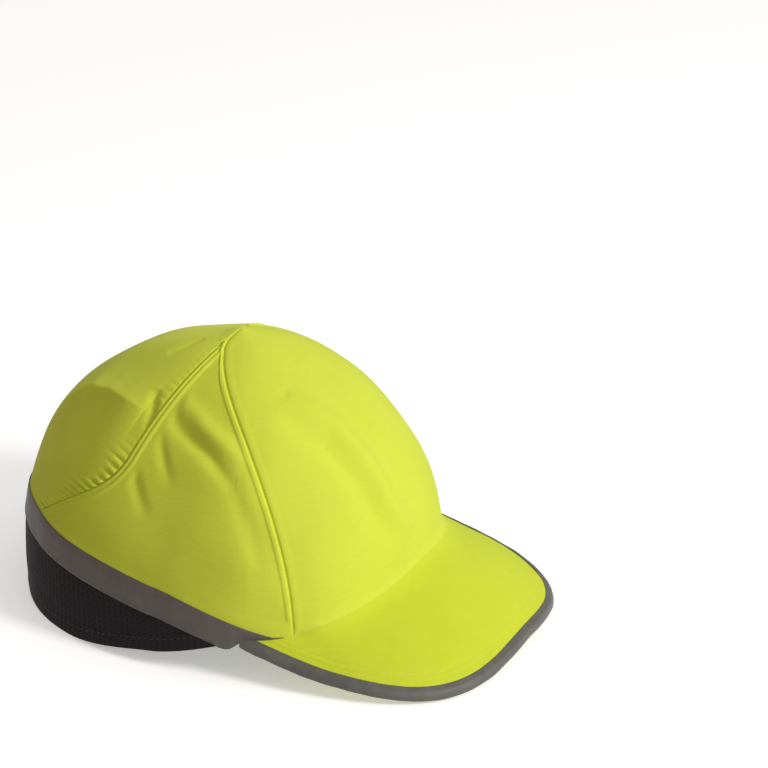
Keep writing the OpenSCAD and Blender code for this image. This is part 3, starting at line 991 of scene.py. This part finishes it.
def front_panel():
    def place(across, up):
        angle = np.minimum(side_seam(up), rear_seam(up)) * (2 * across - 1)
        height = crown_point(angle, up, 0)[..., 2] - rim_height(angle)
        fold = fold_at(angle) * np.exp(-height / FOLD_SPREAD)
        point = cloth_point(angle, up, -fold)
        point[..., 2] += fold
        return point

    grid = Grid(place, **SEAM_GRID)
    seams, foot = grid.edge_distance(SIDES), grid.distance["low"]
    slack = folded(grid, FRONT_FOLDS) + unevenness(grid, height=0.3, wavelength=42, seed=3)
    slack *= smooth_step(seams / 14) * smooth_step(foot / 10)
    height = (plain_seam(seams) * smooth_step(foot / 4) + slack) * off_the_pole(grid)
    sewn = dict(thread="lime", edges=SIDES, inset=TOPSTITCH_INSET, ends=(0.03, 0.93), thickness=0.34)
    lime_panel("front_panel", grid, height, sewn)


def side_panel(side, mirror, edges, folds, seed):
    """One side of the crown. The edges are the grid's edges at the front seam and at the rear seam."""

    def place(across, up):
        front_rise = mix(FRONT_FOOT_RISE, SEAMS_MEET, up)
        rear_rise = mix(REAR_FOOT_RISE, SEAMS_MEET, up)
        rear = rear_seam(rear_rise)
        front = np.minimum(side_seam(front_rise), rear)
        foot_angle = mix(SIDE_SEAM_FOOT, REAR_FOOT_ANGLE, across)
        slope = mix(FRONT_FOOT_RISE, REAR_FOOT_RISE, across)
        foot = rise_at(foot_angle, panel_foot(foot_angle)) - slope
        rise = mix(front_rise, rear_rise, across) + (1 - up) * foot
        return cloth_point(mix(front, rear, across), rise, 0)

    grid = Grid(mirror(place), **SEAM_GRID)
    front, rear = (grid.distance[edge] for edge in edges)
    slack = folded(grid, folds) + unevenness(grid, height=0.25, wavelength=30, seed=seed)
    slack *= smooth_step((rear - 5) / 5) * smooth_step(front / 6)
    height = (felled(rear) + pressed_over(front) + slack) * off_the_pole(grid) * out_of_the_band(grid)
    sewn = dict(thread="lime", edges=edges[1:], inset=FELLED_STITCH_INSET, ends=(0.1, 0.95))
    lime_panel("side_panel_" + side, grid, height, sewn)


def rear_panel():
    def place(across, up):
        edge_rise = mix(REAR_FOOT_RISE, 1, up)
        half = 180 - rear_seam(edge_rise)
        foot_angle = 180 + (180 - REAR_FOOT_ANGLE) * (2 * across - 1)
        foot = rise_at(foot_angle, panel_foot(foot_angle)) - REAR_FOOT_RISE
        return cloth_point(180 + half * (2 * across - 1), edge_rise + (1 - up) * foot, 0)

    grid = Grid(place, **GATHERED_GRID)
    seams = grid.edge_distance(SIDES)
    height = unevenness(grid, height=0.45, wavelength=34, seed=11) + folded(grid, REAR_FOLDS)
    height *= smooth_step(seams / 8)
    gathered = 1 - GATHER_FADE * smooth_step((grid.up - GATHER_FADE_START) / GATHER_FADE_LENGTH)
    for edge, column in zip(SIDES, (0, -1)):
        along = grid.along_column[:, [column]] + 0 * grid.up
        gathers = puckers(grid.distance[edge], along, GATHER_PITCH, GATHER_REACH, GATHER_HEIGHT)
        height += gathers * gathered
    height += furrow(grid, *FOLD_IN_GATHERS) + dip(seams, SEAM_DIP, 0.7)
    lime_panel("rear_panel", grid, height * off_the_pole(grid) * out_of_the_band(grid))


def back_panel():
    first = BAND_START + 12

    def place(across, up):
        angle = arch_angle(across, first)
        low = np.maximum(rim_height(angle), arch_height(angle))
        rise = mix(rise_at(angle, low), rise_at(angle, panel_foot(angle)), up)
        return crown_point(angle, rise, 0)

    grid = Grid(place, crowding=(0, 0.2))
    low = grid.distance["low"]
    slack = unevenness(grid, height=0.3, wavelength=30, seed=5) * out_of_the_band(grid)
    height = raised(low, -2, HEM_WIDTH, 0.35) + groove(low, HEM_WIDTH - 1)
    height += slack * smooth_step((low - HEM_WIDTH) / 6)
    slot = "black_mesh"
    panel = cloth_piece("back_panel", grid, height, MESH_THICKNESS, slot)
    beside_the_arch = (0.02, BESIDE_ARCH), (1 - BESIDE_ARCH, 0.98)
    rows = [line_beside(grid, "low", HEM_WIDTH - 1, *part) for part in beside_the_arch]
    stitching("back_panel_stitches", panel, rows, slot, "black", pitch=3.4)


# Degrees by which the thin tips of the band run on along the rim.
BAND_TIP = 3.5
BAND_STITCH_INSET = 1.6


def reflective_band():
    def place(across, up):
        angle = mix(BAND_START - BAND_TIP, 360 - BAND_START + BAND_TIP, across)
        high = band_top(angle)
        low = np.maximum(high - BAND_WIDTH, rim_height(angle))
        rise = mix(rise_at(angle, low), rise_at(angle, high), up)
        point = crown_point(angle, rise, -TAPE - CLEAR / 2)
        point[..., 2] -= band_end_hang(angle) * (1 - up)
        return point

    grid = Grid(place, step=1.1, crowding=(0.1, 0.5))
    edges = grid.edge_distance(RIMS)
    height = groove(edges, BAND_STITCH_INSET, depth=0.2, width=0.5) + dip(edges, 0.2, 0.6)
    height += unevenness(grid, height=0.12, wavelength=16, seed=8)
    sewn = dict(thread="grey", edges=RIMS, inset=BAND_STITCH_INSET, ends=(0.01, 0.99))
    slot, panel = "reflective_tape", ("back_panel",)
    cloth_piece("reflective_band", grid, height, TAPE_THICKNESS, slot, sewn=sewn)


# ---- The peak ----

PEAK_TAIL_ANGLE = 67.3
PEAK_END = outline(PEAK_TAIL_ANGLE, -CLOTH)
CROWN_BESIDE_PEAK = np.stack(outline(np.linspace(-80, 80, 641), 0), -1)
# Beyond this share of the outline its direction no longer changes.
LAST_TURN = 0.997
SHARE_STEP = 0.002
# How much of the room beside the crown an inset may take.
ROOM_TAKEN = 0.8
# The under cover's root turns up by this share of its depth, over this distance.
ROOT_LIFT = 0.45
ROOT_SPREAD = 1.5
COVER_REACH = 0.985
COVER_INSET = 1
COVER_THICKNESS = PEAK_COVER - 0.1
COVER_STITCH_INSET = 11
HIDDEN_STITCH_INSET = 7.2
BOARD_REACH = 0.83
BOARD_ROOT = 0.08
BOARD_INSET = 2.6
BINDING_CORNER = 1.6
BINDING_STITCH_INSET = 1.4


def peak_outline(share):
    """The peak's outline in plan, from -1 at its right end to 1 at its left."""
    wide = PEAK_HALF_WIDTH * signed_power(sine(90 * share), 2 / PEAK_POWER)
    reach = FRONT_REACH + PEAK_REACH + PEAK_END[1]
    y = PEAK_END[1] - reach * cosine(90 * share) ** (2 / PEAK_POWER)
    return np.stack([mix(wide, np.sign(share) * PEAK_END[0], np.abs(share) ** PEAK_END_CLOSING), y], -1)


def peak_edge(share, inset):
    """A point of the peak's outline in plan, drawn in square to it by the inset."""
    held = np.clip(share, -LAST_TURN, LAST_TURN)
    along = unit(peak_outline(held + SHARE_STEP) - peak_outline(held - SHARE_STEP))
    point = peak_outline(share)
    return point[..., 0] - along[..., 1] * inset, point[..., 1] + along[..., 0] * inset


def room_on_peak(share):
    """Distance from the peak's edge to the crown."""
    away = peak_outline(share)[..., None, :] - CROWN_BESIDE_PEAK
    return np.linalg.norm(away, axis=-1).min(-1)


def peak_surface(share, forward, inset, drop):
    """A point of the peak. Its upper cover's root turns up to meet the crown's cloth."""
    angle = PEAK_TAIL_ANGLE * share
    fold = fold_at(angle) if drop == 0 else 0 * angle
    root_x, root_y = outline(angle, -fold)
    edge_x, edge_y = peak_edge(share, np.minimum(inset, ROOM_TAKEN * room_on_peak(share)))
    x, y = mix(root_x, edge_x, forward), mix(root_y, edge_y, forward)
    from_root = np.hypot(x - root_x, y - root_y)
    lift = fold + peak_height(*outline(angle, 0)) - peak_height(root_x, root_y)
    lift = np.where(fold > 0, lift, 0) * np.exp(-from_root / FOLD_SPREAD)
    lift += ROOT_LIFT * drop * np.exp(-((from_root / ROOT_SPREAD) ** 2))
    return np.stack([x, y, peak_height(x, y) - drop + lift], -1)


def peak_cover(name, drop, direction):
    """A cover whose two rows of stitches show as grooves, one of them with its thread."""

    def place(across, up):
        return peak_surface(COVER_REACH * direction * (1 - 2 * across), up, COVER_INSET, drop)

    grid = Grid(place, step=1.3, crowding=(0.3, 0.4))
    rim = grid.distance["high"]
    height = unevenness(grid, height=0.12, wavelength=26, seed=13) * smooth_step(grid.distance["low"] / 12)
    height += groove(rim, COVER_STITCH_INSET, depth=0.22, width=0.5)
    height += groove(rim, HIDDEN_STITCH_INSET, depth=0.2, width=0.7)
    edge = ("high",)
    sewn = dict(thread="lime", edges=edge, inset=COVER_STITCH_INSET, ends=(0.04, 0.96))
    sewn |= dict(pitch=2.8, thickness=0.36)
    slot, board = "lime_peak_cloth", ("peak_board",)
    cloth_piece(name, grid, height, COVER_THICKNESS, slot, edges=edge, sewn=sewn)


def peak_board():
    def place(across, up):
        share = BOARD_REACH * (1 - 2 * across)
        return peak_surface(share, mix(BOARD_ROOT, 1, up), BOARD_INSET, PEAK_COVER + CLEAR / 2)

    grid = Grid(place, step=2, crowding=(0.3, 0.4))
    border = EDGE_ROUNDING * softened(grid, ("high",), 0.7)
    under = grid.raise_by(border - BOARD_THICKNESS)
    board = closed_sheet("peak_board", grid, grid.raise_by(-border), under)
    dress(board, "peak_board", stands_for=("peak_board",))


def folded_binding(name, grid, height, slot, sewn):
    """A tape folded over the edge of another piece."""
    cloth_piece(name, grid, height, TAPE_THICKNESS, slot, sewn=sewn)


def peak_binding():
    def place(across, up):
        share = 0.999 * (1 - 2 * across)
        width = np.clip(room_on_peak(share), BINDING_CORNER, BINDING_WIDTH)
        inset, drop = fold_path(up, width, BINDING_CORNER, PEAK_THICKNESS, 1, CLEAR / 2 + TAPE)
        x, y = peak_edge(share, inset)
        return np.stack([x, y, peak_height(x, y) - drop], -1)

    grid = Grid(place, step=1.0, crowding=(0.1, 0.2))
    edges = grid.edge_distance(RIMS)
    height = groove(edges, BINDING_STITCH_INSET, depth=0.2) + dip(edges, 0.2, 0.5)
    height += unevenness(grid, height=0.1, wavelength=13, seed=17)
    sewn = dict(thread="grey", edges=RIMS, inset=BINDING_STITCH_INSET, ends=(0.01, 0.99))
    folded_binding("peak_binding", grid, height, "reflective_binding", sewn)


# ---- Inside the cap ----

SEAM_TAPE_STITCH_INSET = 1.3
QUILT_PITCH = 24
QUILT_DEPTH = 0.45
QUILT_WIDTH = 1.1
SWEATBAND_STITCH_INSET = 4
LABEL_ANGLES = (134, 118)
LABEL_HEIGHTS = (8, 26)
LABEL_STITCH_INSET = 1.2
ARCH_BINDING_CORNER = 0.9


def seam_tape(name, seam, low, high, mirror):
    """The tape that covers a seam inside the crown, between two rises."""

    def place(across, up):
        rise = mix(low, high, up)
        middle = crown_point(seam(rise), rise, 0)
        half_angle = np.degrees(np.arctan(SEAM_TAPE_WIDTH / 2 / np.hypot(middle[..., 0], middle[..., 1])))
        depth = LINING_DEPTH + CLEAR / 2 + TAPE
        return cloth_point(seam(rise) + half_angle * (1 - 2 * across), rise, depth)

    grid = Grid(mirror(place), step=1.2)
    height = groove(grid.edge_distance(SIDES), SEAM_TAPE_STITCH_INSET, depth=0.15, width=0.4)
    sewn = dict(thread="lime", edges=SIDES, inset=SEAM_TAPE_STITCH_INSET, thickness=0.36)
    cloth_piece(name, grid, height, TAPE_THICKNESS, "seam_tape", sewn=sewn)


def sweatband():
    def place(across, up):
        angle = SWEATBAND_END * (1 - 2 * across)
        low = rim_height(angle) + 1
        rise = mix(rise_at(angle, low), rise_at(angle, low + SWEATBAND_WIDTH), up)
        return crown_point(angle, rise, LINING_DEPTH + SWEATBAND_THICKNESS)

    grid = Grid(place, step=1.5, crowding=(0.1, 0.5))
    middle = grid.along_row - grid.along_row[:, [-1]] / 2
    from_channel = np.sin(math.pi * middle / QUILT_PITCH) * QUILT_PITCH / math.pi
    rows = grid.edge_distance(RIMS)
    height = dip(from_channel, QUILT_DEPTH, QUILT_WIDTH) * smooth_step((rows - 5) / 2)
    height += groove(rows, SWEATBAND_STITCH_INSET, depth=0.5, width=0.9)
    height += unevenness(grid, height=0.12, wavelength=12, seed=19)
    sewn = dict(thread="black", edges=RIMS, inset=SWEATBAND_STITCH_INSET, ends=(0.01, 0.99), pitch=3.4)
    padded_piece("sweatband", grid, height, SWEATBAND_THICKNESS, "sweatband", "cap", sewn)


def crown_patch(angles, heights, depth):
    """The place function of a patch of the crown between two angles and two heights."""

    def place(across, up):
        angle = mix(*angles, across)
        rise = mix(rise_at(angle, heights[0]), rise_at(angle, heights[1]), up)
        return crown_point(angle, rise, depth)

    return place


def care_label():
    depth = LINING_DEPTH + SWEATBAND_THICKNESS + CLEAR * 1.5
    grid = Grid(crown_patch(LABEL_ANGLES, LABEL_HEIGHTS, depth), step=0.7)
    height = groove(grid.edge_distance(ALL_EDGES), LABEL_STITCH_INSET, depth=0.1, width=0.3)
    sewn = dict(thread="grey", edges=ALL_EDGES, inset=LABEL_STITCH_INSET, ends=(0.08, 0.92))
    sewn |= dict(pitch=2.4, length=1.7, thickness=0.3)
    cloth_piece("care_label", grid, height, 0.3, "label", sewn=sewn)


def arch_binding():
    def place(across, up):
        inset, drop = fold_path(up, ARCH_BINDING_WIDTH, ARCH_BINDING_CORNER, CLOTH, 0, CLEAR / 2 + TAPE)
        angle = 180 + (ARCH_HALF_ANGLE + ARCH_DEGREES * inset) * cosine(180 * across)
        height = (ARCH_HEIGHT + inset) * sine(180 * across)
        return crown_point(angle, rise_at(angle, height), drop)

    grid = Grid(place, step=0.8, crowding=(0.1, 0.2))
    height = groove(grid.edge_distance(RIMS), 1, depth=0.15, width=0.4)
    sewn = dict(thread="black", edges=RIMS, inset=1)
    folded_binding("arch_binding", grid, height, "webbing", sewn)


# ---- Straps ----

STRAP_GRID = {"step": 0.8, "crowding": (0.2, 0.4)}
STRAP_CORNER = 2.5
TAPE_CORNER = 1
RIB_PITCH = 1.9
RIB_HEIGHT = 0.1
SELVEDGE = 1.2
BOX_STITCH_INSET = 1.8
TAPE_STITCH_INSET = 1.2
HOOK_PITCH = 1.3
HOOK_HEIGHT = 0.12
HOOK_BORDER = 1.2


def strap_point(angle, radius, z):
    x, y = radius * sine(angle), radius * cosine(angle) - STRAP_CENTRE_FRONT
    return np.stack([x, y, z], -1)


def no_lift(angle):
    return 0 * angle


def strap_arc(outer, first, last, width=STRAP_WIDTH, corner=STRAP_CORNER, lift=no_lift):
    """The place function of a strap's outer face between two angles from the middle of the back."""

    def place(across, up):
        angle = mix(last, first, across)
        radius = outer + lift(angle)
        from_end = np.radians(np.minimum(angle - first, last - angle)) * outer
        square = np.clip(1 - from_end / corner, 0, 1)
        half = width / 2 - corner * (1 - np.sqrt(1 - square**2))
        z = STRAP_BOTTOM + STRAP_WIDTH / 2 + half * (2 * up - 1)
        return strap_point(angle, radius, z)

    return place


def ribs(grid):
    """The heavy ribs along woven webbing, with a flat selvedge on each side."""
    selvedge = smooth_step((grid.edge_distance(RIMS) - SELVEDGE) / 0.6)
    return RIB_HEIGHT * np.cos(2 * math.pi * grid.distance["low"] / RIB_PITCH) * selvedge


def box_stitch(grid, start, end):
    """Four rows that sew down an end of a strap, between two shares of its length."""
    rows = [line_beside(grid, edge, BOX_STITCH_INSET, start, end) for edge in RIMS]
    for share in (start, end):
        column = int(share * (grid.across.shape[1] - 1))
        inside = slice(len(grid.up) // 8, -len(grid.up) // 8)
        rows.append((grid.front[inside, column], grid.normals[inside, column]))
    return rows


def loop_strap():
    def lift(angle):
        past = np.maximum(angle - LOOP_TAPE_ANGLE, 0) / (STRAP_ROOT_ANGLE - LOOP_TAPE_ANGLE)
        return (STRAP_RADIUS - LOOP_STRAP_OUTER) * smooth_step(past)

    place = strap_arc(LOOP_STRAP_OUTER, -LOOP_TAPE_ANGLE - 1, STRAP_ROOT_ANGLE, lift=lift)
    grid = Grid(place, **STRAP_GRID)
    strap = cloth_piece(
        "loop_strap", grid, ribs(grid), STRAP_THICKNESS, "webbing"
    )
    rows = box_stitch(grid, start=0.03, end=0.12)
    stitching("loop_strap_stitches", strap, rows, "webbing", "black")


def loop_tape():
    place = strap_arc(LOOP_TAPE_OUTER, -LOOP_TAPE_ANGLE, LOOP_TAPE_ANGLE, STRAP_WIDTH - 1, TAPE_CORNER)
    grid = Grid(place, **STRAP_GRID)
    height = groove(grid.edge_distance(ALL_EDGES), TAPE_STITCH_INSET, depth=0.3, width=0.5)
    height += unevenness(grid, height=0.12, wavelength=3, seed=23)
    sewn = dict(thread="black", edges=RIMS, inset=TAPE_STITCH_INSET)
    cloth_piece("loop_tape", grid, height, GRIP_THICKNESS, "loop", sewn=sewn)


def hook_strap():
    """The sewn base and the free flap are one length of webbing."""
    grid = Grid(strap_arc(STRAP_RADIUS, -STRAP_ROOT_ANGLE, FLAP_TIP_ANGLE), **STRAP_GRID)
    raised_by = ribs(grid) - EDGE_ROUNDING * STRAP_THICKNESS * softened(grid, ALL_EDGES)
    grid.front = grid.raise_by(raised_by)
    strap = closed_sheet("hook_strap", grid, grid.front, grid.raise_by(-raised_by - STRAP_THICKNESS))
    dress(strap, "webbing", None, ("hook_strap_base", "hook_strap_flap"))
    rows = box_stitch(grid, start=0.04, end=0.6)
    stitches = stitching("hook_strap_stitches", strap, rows, "webbing", "black")
    stitches.parent = None
    for piece in (strap, stitches):
        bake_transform(piece)


def hook_tape():
    first, last = 1 - PEEL_ANGLE, FLAP_TIP_ANGLE - 0.5
    outer = strap_arc(HOOK_TAPE_INNER, first, last, STRAP_WIDTH - 1.5, TAPE_CORNER)

    def place(across, up):
        return outer(1 - across, up)

    grid = Grid(place, step=0.6, crowding=(0.2, 0.4))
    turns = 2 * math.pi / HOOK_PITCH
    hooks = np.cos(turns * grid.along_row) * np.cos(turns * grid.distance["low"])
    height = HOOK_HEIGHT * hooks * smooth_step((grid.edge_distance(ALL_EDGES) - HOOK_BORDER) / 0.5)
    thickness = GRIP_THICKNESS - 0.1
    cloth_piece("hook_tape", grid, height, thickness, "hook", "strap_flap")


# ---- Insert ----

# The rows of vents: how many, the first one's angle, the rise of their middles, and half their size in
# degrees and in rise.
VENT_ROWS = ((12, 11.25, 5.5 / 14, 3.75, 1.5 / 14), (8, 18.75, 10 / 14, 3.75, 1 / 14))
VENT_SQUARENESS = 3
# The part of a vent, from this share of its size outwards, whose points are drawn on to its outline.
VENT_BORDER = 0.6
SHELL_SHARES = np.meshgrid(np.linspace(0, 1, 361), np.linspace(0, 1, 71))
SPINE_SPACING = 45
SPINE_WIDTH = 2.2
SPINE_HEIGHT = 0.5
SPINE_START = 0.12
SPINE_END = 0.6
SPINE_FADE = 0.1
TRIM_WIDTH = 4
TRIM_CORNER = 1.4
CROWN_PAD_RISE = 0.72
PAD_GROOVE = {"place": 5, "depth": 1.0, "width": 1.2}


def shell_shares():
    """The shares of the shell's grid, drawn on to the outlines of the vents, and the cells inside them."""
    across, up = SHELL_SHARES
    inside = np.zeros(across.shape, bool)
    for count, first, rise, half_angle, half_rise in VENT_ROWS:
        spacing = 360 / count
        from_middle = (360 * across - first + spacing / 2) % spacing - spacing / 2
        x, y = from_middle / half_angle, (up - rise) / half_rise
        size = (np.abs(x) ** VENT_SQUARENESS + np.abs(y) ** VENT_SQUARENESS) ** (1 / VENT_SQUARENESS)
        border = (size > VENT_BORDER) & (size <= 1)
        to_outline = np.where(border, 1 / np.maximum(size, VENT_BORDER) - 1, 0)
        across = across + x * to_outline * half_angle / 360
        up = up + y * to_outline * half_rise
        inside |= size <= 1
    cells = inside[:-1, :-1] & inside[1:, :-1] & inside[:-1, 1:] & inside[1:, 1:]
    return (across, up), cells


def protective_shell():
    def place(across, up):
        angle = 360 * across
        rise = mix(rise_at(angle, shell_edge(angle)), 1, up)
        return crown_point(angle, rise, SHELL_DEPTH)

    shares, vents = shell_shares()
    grid = Grid(place, ring=True, shares=shares)
    grid.normals = Grid(place, ring=True, shares=SHELL_SHARES).normals
    from_spine = 360 * grid.across % SPINE_SPACING - SPINE_SPACING / 2
    past_start = smooth_step((grid.up - SPINE_START) / SPINE_FADE)
    before_end = smooth_step((SPINE_END - grid.up) / SPINE_FADE)
    spine = -dip(from_spine, SPINE_HEIGHT, SPINE_WIDTH) * past_start * before_end
    height = spine + raised(grid.distance["low"], start=5.5, end=7, height=0.3)
    inner = grid.raise_by(-SHELL_THICKNESS)
    shell = closed_sheet("protective_shell", grid, grid.raise_by(height), inner, vents)
    dress(shell, "shell", "insert", ("protective_shell",))


def shell_edge_trim():
    def place(across, up):
        angle = 360 * (1 - across)
        inset, drop = fold_path(up, TRIM_WIDTH, TRIM_CORNER, SHELL_THICKNESS, 1, CLEAR + TAPE)
        height = shell_edge(angle) + inset - 1
        return crown_point(angle, rise_at(angle, height), SHELL_DEPTH + drop)

    grid = Grid(place, step=1.0, crowding=(0, 0.3), ring=True)
    height = raised(grid.edge_distance(RIMS), -1, 0.9, height=0.25, softness=0.2)
    border = EDGE_ROUNDING / 2 * softened(grid, RIMS, 0.3)
    inner = grid.raise_by(border - TAPE)
    trim = closed_sheet("shell_edge_trim", grid, grid.raise_by(height - border), inner)
    dress(trim, "trim", "insert", ("shell_edge_trim",))


def foam_pad(name, angles, heights, mirror=same):
    """A foam pad with a pressed groove inside its border."""
    place = crown_patch(angles[::-1], heights, PAD_DEPTH + PAD_THICKNESS)
    grid = Grid(mirror(place), step=1.2, crowding=(0.5, 0.5))
    height = groove(grid.edge_distance(ALL_EDGES), **PAD_GROOVE)
    height += unevenness(grid, height=0.15, wavelength=14, seed=29)
    padded_piece(name, grid, height, PAD_THICKNESS, "foam")


def crown_pad():
    def place(across, up):
        rise = mix(CROWN_PAD_RISE, 1, up)
        return crown_point(360 * (1 - across), rise, PAD_DEPTH + PAD_THICKNESS)

    grid = Grid(place, step=1.2, crowding=(0, 0.3), ring=True)
    rim = grid.distance["low"]
    height = groove(rim, **PAD_GROOVE) + groove(rim, 18, depth=0.8, width=1.2)
    height += unevenness(grid, height=0.15, wavelength=14, seed=31)
    padded_piece("crown_pad", grid, height, PAD_THICKNESS, "foam")


def fastening_patch(name, slot, body, depth, angles):
    """One of the two patches that hold the insert up at the top of the crown."""
    grid = Grid(crown_patch(angles, PATCH_HEIGHTS, depth), step=0.7)
    height = unevenness(grid, height=0.08, wavelength=2.5, seed=37)
    cloth_piece(name, grid, height, TAPE_THICKNESS, slot, body)


# ---- Put it together ----

front_panel()
side_panel("left", same, SIDES, LEFT_FOLDS, seed=7)
side_panel("right", mirrored, SIDES[::-1], RIGHT_FOLDS, seed=9)
rear_panel()
back_panel()
reflective_band()
peak_cover("peak_top_cover", drop=0, direction=1)
peak_cover("peak_under_cover", drop=PEAK_THICKNESS, direction=-1)
peak_board()
peak_binding()
for side, mirror in (("left", same), ("right", mirrored)):
    seam_tape("side_seam_tape_" + side, side_seam, low=0.36, high=0.82, mirror=mirror)
    seam_tape("rear_seam_tape_" + side, rear_seam, low=0.3, high=0.8, mirror=mirror)
sweatband()
care_label()
arch_binding()
loop_strap()
loop_tape()
hook_strap()
hook_tape()
protective_shell()
shell_edge_trim()
foam_pad("front_pad", angles=(-34, 34), heights=(76, 92))
foam_pad("rear_pad", angles=(152, 208), heights=(84, 100))
foam_pad("left_pad", angles=(62, 112), heights=(76, 87))
foam_pad("right_pad", angles=(62, 112), heights=(76, 87), mirror=mirrored)
crown_pad()
patch = (-PATCH_ANGLE, PATCH_ANGLE)
on_the_shell = SHELL_DEPTH - CLEAR / 2 - TAPE
fastening_patch("crown_loop_patch", "loop", "cap", LINING_DEPTH + TAPE, patch[::-1])
fastening_patch("shell_hook_patch", "hook", "insert", on_the_shell, patch)

# ---- Studio ----

TARGET = Vector((0, TO_FRAME[1] * METRES, 0.05))
CAMERA_AZIMUTH = math.radians(-62)
CAMERA_ELEVATION = math.radians(25.5)
CAMERA_DISTANCE = 1.3
CAMERA_LENS = 125.9
# How far the view's middle lies from the cap: to the right and above it, as slopes of the line of sight.
OFF_CENTRE = (0.0517, 0.0395)

KEY_PLACE = Vector((-0.15, -1.92, 1.15))
KEY_SIZE = 0.6
KEY_POWER = 31.5
KEY_COLOUR = (1, 0.96, 0.92)
ROOM_STRENGTH = 0.53
# The side of the room behind the cap, on the wearer's right, is darker and warmer.
WARM_SIDE = (-0.66, 0.75, 0)
WARM_START = 0.3
WARM_SHADE = (0.42, 0.24, 0.15, 1)
WHITE = (1, 1, 1, 1)
FLOOR_HALF_SIZE = 6000
FLOOR_GLOW = 0.38


def in_scene(name, data):
    made = bpy.data.objects.new(name, data)
    bpy.context.scene.collection.objects.link(made)
    made.rotation_mode = "QUATERNION"
    return made


def studio_camera():
    camera = in_scene("camera", bpy.data.cameras.new("camera"))
    bpy.context.scene.camera = camera
    camera.data.lens = CAMERA_LENS
    back = Vector((
        math.sin(CAMERA_AZIMUTH) * math.cos(CAMERA_ELEVATION),
        -math.cos(CAMERA_AZIMUTH) * math.cos(CAMERA_ELEVATION),
        math.sin(CAMERA_ELEVATION),
    ))
    camera.location = TARGET + CAMERA_DISTANCE * back
    level = (-back).to_track_quat("-Z", "Y")
    look = level @ Vector((*OFF_CENTRE, -1))
    camera.rotation_quaternion = (-back).rotation_difference(look) @ level


def key_light():
    light = in_scene("key", bpy.data.lights.new("key", "AREA"))
    light.data.shape = "DISK"
    light.data.size = KEY_SIZE
    light.data.energy = KEY_POWER
    light.data.color = KEY_COLOUR
    light.location = TARGET + KEY_PLACE
    light.rotation_quaternion = (-KEY_PLACE).to_track_quat("-Z", "Y")


def room_light():
    """Even light from all round, which turns warmer and darker towards the warm side."""
    world = bpy.data.worlds.new("studio")
    bpy.context.scene.world = world
    world.use_nodes = True
    tree = world.node_tree
    background = tree.nodes["Background"]
    background.inputs["Strength"].default_value = ROOM_STRENGTH
    facing = tree.nodes.new("ShaderNodeVectorMath")
    facing.operation = "DOT_PRODUCT"
    facing.inputs[1].default_value = WARM_SIDE
    tree.links.new(tree.nodes.new("ShaderNodeTexCoord").outputs["Generated"], facing.inputs[0])
    tint = tree.nodes.new("ShaderNodeValToRGB")
    white, warm = tint.color_ramp.elements
    white.color = WHITE
    white.position = WARM_START
    warm.color = WARM_SHADE
    tree.links.new(facing.outputs["Value"], tint.inputs["Fac"])
    tree.links.new(tint.outputs["Color"], background.inputs["Color"])


def floor():
    """A pale floor that catches the shadow but throws no light back on to the cap."""
    corners = np.array([(-1, -1, 0), (1, -1, 0), (1, 1, 0), (-1, 1, 0)]) * FLOOR_HALF_SIZE
    made = new_object("floor", corners, np.array([[0, 1, 2, 3]]))
    look = Look("floor", 0.9, Specular_IOR_Level=0.1, Emission_Color=WHITE, Emission_Strength=FLOOR_GLOW)
    look.tint(look.noise(400, 2), (0.94, 0.94, 0.94), 0.01)
    made.data.materials.append(look.material)
    made.visible_diffuse = False


studio_camera()
room_light()
key_light()
floor()
bpy.context.scene.view_settings.view_transform = "Standard"
